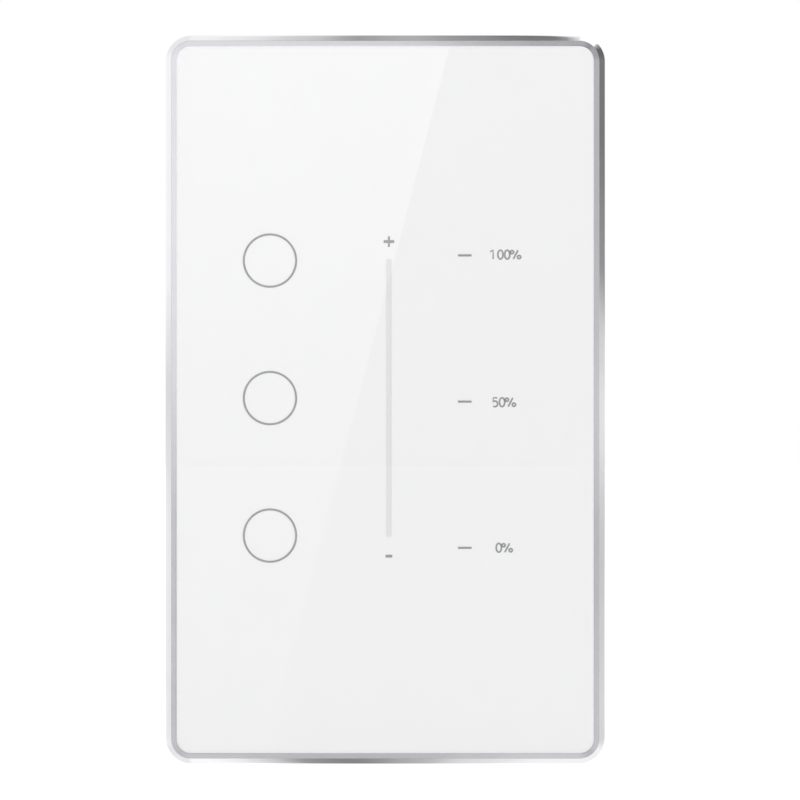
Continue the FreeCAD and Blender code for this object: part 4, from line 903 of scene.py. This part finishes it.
# The panel frame. A band of polished metal, drawn to its section, bent round the panel and closed by a weld:
# a rounded lip in front, a ledge under the edge of the glass and a short tail behind it.
def sweep_tree():
    """Carries a section round a rectangle with round corners."""
    tree = bpy.data.node_groups.new("section_round_panel", "GeometryNodeTree")
    for label, kind in (("Section", "Object"), ("Width", "Float"), ("Height", "Float"), ("Corner", "Float"),
                        ("Corner Steps", "Int"), ("Finish", "Material")):
        tree.interface.new_socket(label, in_out="INPUT", socket_type=f"NodeSocket{kind}")
    tree.interface.new_socket("Mesh", in_out="OUTPUT", socket_type="NodeSocketGeometry")
    start, end = tree.nodes.new("NodeGroupInput"), tree.nodes.new("NodeGroupOutput")
    outline = tree.nodes.new("GeometryNodeCurvePrimitiveQuadrilateral")
    corner = tree.nodes.new("GeometryNodeFilletCurve")
    corner.mode = "POLY"
    section = tree.nodes.new("GeometryNodeObjectInfo")
    sweep = tree.nodes.new("GeometryNodeCurveToMesh")
    real = tree.nodes.new("GeometryNodeRealizeInstances")
    finish = tree.nodes.new("GeometryNodeSetMaterial")
    stand = tree.nodes.new("GeometryNodeTransform")
    stand.inputs["Rotation"].default_value = (math.pi / 2, 0, 0)
    tree.links.new(start.outputs["Width"], outline.inputs["Width"])
    tree.links.new(start.outputs["Height"], outline.inputs["Height"])
    tree.links.new(outline.outputs["Curve"], corner.inputs["Curve"])
    tree.links.new(start.outputs["Corner"], corner.inputs["Radius"])
    tree.links.new(start.outputs["Corner Steps"], corner.inputs["Count"])
    tree.links.new(start.outputs["Section"], section.inputs["Object"])
    tree.links.new(corner.outputs["Curve"], sweep.inputs["Curve"])
    tree.links.new(section.outputs["Geometry"], sweep.inputs["Profile Curve"])
    tree.links.new(sweep.outputs["Mesh"], stand.inputs["Geometry"])
    tree.links.new(stand.outputs["Geometry"], real.inputs["Geometry"])
    tree.links.new(real.outputs["Geometry"], finish.inputs["Geometry"])
    tree.links.new(start.outputs["Finish"], finish.inputs["Material"])
    tree.links.new(finish.outputs["Geometry"], end.inputs["Mesh"])
    return tree


LIP_WIDTH, LIP_ROUND, LIP_ROLL, ROUND_STEPS = 1.02, 2.38, 0.015, 14
LEDGE_WIDTH, LEDGE_THICK = 0.88, 0.6
PANEL_CORNER, CORNER_STEPS = 4.3, 24
left, right, front, back, low, high = corners_of("panel_frame")
panel_width, panel_height = right - left, high - low
lip_front, frame_back = -front / MM, -back / MM
seat = -corners_of("back_print")[3] / MM
section = [(0, frame_back)]
shoulder = lip_front - math.sqrt(LIP_ROUND ** 2 - (LIP_ROUND - LIP_WIDTH) ** 2)
turn_to = math.acos((LIP_ROUND - LIP_WIDTH) / LIP_ROUND)
for i in range(ROUND_STEPS + 1):
    angle = turn_to * i / ROUND_STEPS
    section.append((LIP_ROUND - LIP_ROUND * math.cos(angle), shoulder + LIP_ROUND * math.sin(angle)))
ledge = LIP_WIDTH + LEDGE_WIDTH
arris = LIP_WIDTH + LIP_ROLL
section += [(arris, lip_front - LIP_ROLL / 2), (arris, lip_front - 4 * LIP_ROLL),
            (LIP_WIDTH, lip_front - 6 * LIP_ROLL), (LIP_WIDTH, seat), (ledge, seat),
            (ledge, seat - LEDGE_THICK), (LIP_WIDTH, seat - LEDGE_THICK), (LIP_WIDTH, frame_back)]
line = bpy.data.curves.new("frame_section", "CURVE")
line.dimensions = "2D"
spline = line.splines.new("POLY")
spline.points.add(len(section) - 1)
for point, (inset, height) in zip(spline.points, reversed(section)):
    point.co = (-inset * MM, -height * MM, 0, 1)
spline.use_cyclic_u = True
frame_section = bpy.data.objects.new("frame_section", line)
bpy.context.scene.collection.objects.link(frame_section)


def let_light_through(tree, surface):
    """Lets lamps and soft light pass straight on, as they do through a clear pane or off a polished wall."""
    path = tree.nodes.new("ShaderNodeLightPath")
    clear = tree.nodes.new("ShaderNodeBsdfTransparent")
    choose = tree.nodes.new("ShaderNodeMixShader")
    tree.links.new(worked_out(tree, "MAXIMUM", path.outputs["Is Shadow Ray"], path.outputs["Is Diffuse Ray"]),
                   choose.inputs["Fac"])
    tree.links.new(surface.outputs[0], choose.inputs[1])
    tree.links.new(clear.outputs[0], choose.inputs[2])
    tree.links.new(choose.outputs[0], tree.nodes["Material Output"].inputs["Surface"])


polished, tree, surface = new_material("polished_band", metallic=1.0)
let_light_through(tree, surface)
spot = tree.nodes.new("ShaderNodeTexCoord").outputs["Object"]
haze = noise(tree, spot, 260, 4)
tree.links.new(between(tree, haze, 0.04, 0.13), surface.inputs["Roughness"])
tree.links.new(blend_colours(tree, between(tree, haze, 0, 1, 0.35, 0.7), (0.795, 0.795, 0.805, 1),
                             (0.82, 0.82, 0.825, 1)), surface.inputs["Base Color"])
bumped(tree, surface, noise(tree, spot, 5200, 2), 0.25, 0.004)

SHARPEST = math.radians(15)
band = grown("panel_band", bpy.data.objects.new("band", bpy.data.meshes.new("band")), sweep_tree(), True,
             **{"Section": frame_section, "Width": panel_width, "Height": panel_height,
                "Corner": PANEL_CORNER * MM, "Corner Steps": CORNER_STEPS, "Finish": polished})
bpy.data.objects.remove(frame_section)
band.data.set_sharp_from_angle(angle=SHARPEST)
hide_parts("panel_frame")
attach(band, "front_panel")


# The glass. Toughened clear glass, cut and ground to its outline, with a bevel that is ground satin and not
# polished. It lies on the ledge of the metal band, and tape holds it from behind.
def outline_ring(mesh, inset, height):
    """A ring of points along the panel's outline, moved in by an inset."""
    radius = (PANEL_CORNER - inset) * MM
    half_width, half_height = panel_width / 2 - inset * MM, panel_height / 2 - inset * MM
    ring = []
    for quarter, (x, z) in enumerate(((1, 1), (-1, 1), (-1, -1), (1, -1))):
        for i in range(CORNER_STEPS + 1):
            angle = (quarter + i / CORNER_STEPS) * math.pi / 2
            ring.append(mesh.verts.new((x * (half_width - radius) + radius * math.cos(angle), -height * MM,
                                        z * (half_height - radius) + radius * math.sin(angle))))
    return ring


def lofted(name, rings, finishes):
    """A closed solid through outline rings, each an inset, a height and the finish of the band after it."""
    mesh = bmesh.new()
    made = [outline_ring(mesh, inset, height) for inset, height, _ in rings]
    count = len(made[0])
    for number, (first, second) in enumerate(zip(made, made[1:])):
        for i in range(count):
            j = (i + 1) % count
            face = mesh.faces.new((first[i], first[j], second[j], second[i]))
            face.material_index = rings[number][2]
    mesh.faces.new(list(reversed(made[0])))
    mesh.faces.new(made[-1])
    bmesh.ops.recalc_face_normals(mesh, faces=mesh.faces)
    made = held_back(name, mesh)
    for finish in finishes:
        made.data.materials.append(finish)
    bpy.context.scene.collection.objects.link(made)
    return made


clear_glass, tree, surface = new_material("clear_glass", (0.99, 0.993, 0.991))
surface.inputs["Transmission Weight"].default_value = 1.0
surface.inputs["IOR"].default_value = 1.5
spot = tree.nodes.new("ShaderNodeTexCoord").outputs["Object"]
tree.links.new(between(tree, noise(tree, spot, 90, 3), 0.0, 0.012), surface.inputs["Roughness"])
let_light_through(tree, surface)

ground_glass, tree, surface = new_material("ground_glass", metallic=0.85)
surface.inputs["IOR"].default_value = 1.5
spot = tree.nodes.new("ShaderNodeTexCoord").outputs["Object"]
cloud = noise(tree, spot, 320, 4)
tree.links.new(blend_colours(tree, between(tree, cloud, 0, 1, 0.3, 0.75), (0.765, 0.757, 0.81, 1),
                             (0.79, 0.787, 0.805, 1)), surface.inputs["Base Color"])
tree.links.new(between(tree, cloud, 0.1, 0.2), surface.inputs["Roughness"])
bumped(tree, surface, noise(tree, spot, 9000, 2), 0.3, 0.01)
let_light_through(tree, surface)

GLASS_INSET, BEVEL_WIDTH, BEVEL_DEPTH, GLASS_ARRIS = 1.06, 0.9, 0.53, 0.2
CLEAR, GROUND = 0, 1
glass_front, glass_back = [-side / MM for side in corners_of("glass_panel")[2:4]]
pane = lofted("glass_pane", [
    (GLASS_INSET + GLASS_ARRIS, glass_back, GROUND),
    (GLASS_INSET, glass_back + GLASS_ARRIS, GROUND),
    (GLASS_INSET, glass_front - BEVEL_DEPTH, GROUND),
    (GLASS_INSET + BEVEL_WIDTH - GLASS_ARRIS, glass_front - GLASS_ARRIS * BEVEL_DEPTH, GROUND),
    (GLASS_INSET + BEVEL_WIDTH, glass_front, CLEAR),
], [clear_glass, ground_glass])
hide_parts("glass_panel")
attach(pane, "front_panel")


# The print. A white ceramic ink, screen-printed on the back of the glass, with the rings, the scale and the
# strip in two greys.
def mottled(name, roughness, scale, detail, first, second):
    """A printed ink: its tone moves a little between two colours, as a screen print's does."""
    material, tree, surface = new_material(name, roughness=roughness)
    spot = tree.nodes.new("ShaderNodeTexCoord").outputs["Object"]
    tree.links.new(blend_colours(tree, noise(tree, spot, scale, detail), (*first, 1), (*second, 1)),
                   surface.inputs["Base Color"])
    return material, tree, surface, spot


white_ink, tree, surface, spot = mottled("white_ink", 0.5, 70, 3, [0.862] * 3, [0.878] * 3)
tree.links.new(between(tree, noise(tree, spot, 2500, 2), 0.45, 0.6), surface.inputs["Roughness"])
dress(white_ink, "back_print")


def ink(name, colour):
    """The ink of the marks."""
    return mottled(name, 0.6, 1500, 3, colour, [min(1, part * 1.12) for part in colour])[0]


grey_ink = ink("grey_ink", (0.25, 0.25, 0.255))
dress(grey_ink, "ring_marks", "scale_marks")
dress(ink("pale_ink", (0.70, 0.70, 0.70)), "slider_strip")


# The signs. A plus, a minus and the figures of the scale, printed in the same grey as the rings in strokes of
# one width: each stroke is a short path that the ink follows.
def oval(x, z, width, height, steps=28, start=0.0, sweep=1.0):
    """Points round an oval, or part of it."""
    return [(x + width / 2 * math.cos(2 * math.pi * (start + sweep * i / steps)),
             z + height / 2 * math.sin(2 * math.pi * (start + sweep * i / steps))) for i in range(steps + 1)]


def figure(sign, x, tall):
    """The strokes of one sign, which starts at x; gives them and the width that it takes."""
    across = tall * 0.58
    if sign == "0":
        return [oval(x + tall * 0.385, tall / 2, across, tall)], tall * 0.77
    if sign == "1":
        stem = x + tall * 0.4
        return [[(x + tall * 0.08, tall * 0.82), (stem, tall), (stem, 0)]], tall * 0.84
    if sign == "5":
        bowl = oval(x + tall * 0.36, tall * 0.32, across, tall * 0.64, 20, -0.37, 0.7)
        return [[(x + tall * 0.62, tall), (x + tall * 0.18, tall), (x + tall * 0.13, tall * 0.56)]
                + bowl[::-1]], tall * 0.77
    ring = tall * 0.36
    return [oval(x + tall * 0.15, tall * 0.78, ring, ring), oval(x + tall * 0.95, tall * 0.22, ring, ring),
            [(x + tall * 0.82, tall), (x + tall * 0.3, 0)]], tall * 1.2


def written(text, x, z, tall):
    """The strokes of a line of figures, centred on a point."""
    strokes, reach = [], 0.0
    for sign in text:
        made, wide = figure(sign, reach, tall)
        strokes += made
        reach += wide
    across = [point[0] for stroke in strokes for point in stroke]
    middle = (min(across) + max(across)) / 2
    return [[(px - middle + x, pz + z - tall / 2) for px, pz in stroke] for stroke in strokes]


FIGURE_TALL, PEN, INK = 1.46, 0.29, 0.02
print_front = -corners_of("back_print")[2] / MM
signs = []
for text, x, z in (("100%", 19.8, 23.87), ("50%", 19.6, -0.44), ("0%", 19.6, -24.4)):
    signs += written(text, x, z, FIGURE_TALL)
figures = ribbons("scale_figures", signs, print_front + INK / 2, PEN, INK, grey_ink)
STRIP_X, PLUS_Z, MINUS_Z = 0.6, 26.02, -25.78
PLUS, MINUS, BAR, STEM = 0.88, 0.55, 0.48, 0.34
bars = [[(STRIP_X - PLUS, PLUS_Z), (STRIP_X + PLUS, PLUS_Z)],
        [(STRIP_X - MINUS, MINUS_Z), (STRIP_X + MINUS, MINUS_Z)]]
stems = [[(STRIP_X, PLUS_Z + side * BAR / 2), (STRIP_X, PLUS_Z + side * PLUS)] for side in (-1, 1)]
across = ribbons("plus_and_minus", bars, print_front + INK / 2, BAR, INK, grey_ink)
upright = ribbons("plus_stem", stems, print_front + INK / 2, STEM, INK, grey_ink)
for sign in (figures, across, upright):
    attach(sign, "front_panel")

# The parts between glass and board. A die-cut frame of white foam tape carries the glass, frosted acrylic
# guides lead the light of small soldered lamps to the rings and the strip, and pads of black conductive foam
# join the touch fields to the board.
dress(moulded("white_tape", (0.76, 0.76, 0.73), 3000, 0.7, 0.05), "glass_tape")
dress(moulded("frosted_guide", (0.80, 0.82, 0.84), 5000, 0.2, 0.01), "light_guide_top", "light_guide_middle",
      "light_guide_bottom", "slider_light_guide")
dress(moulded("pad_foam", (0.03, 0.03, 0.033), 2400, 0.85, 0.2), "touch_pad_top", "touch_pad_middle",
      "touch_pad_bottom")
dress(moulded("lamp_chip", (0.85, 0.72, 0.25), 4000, 0.25, 0.01), "ring_lamps", "slider_lamps")
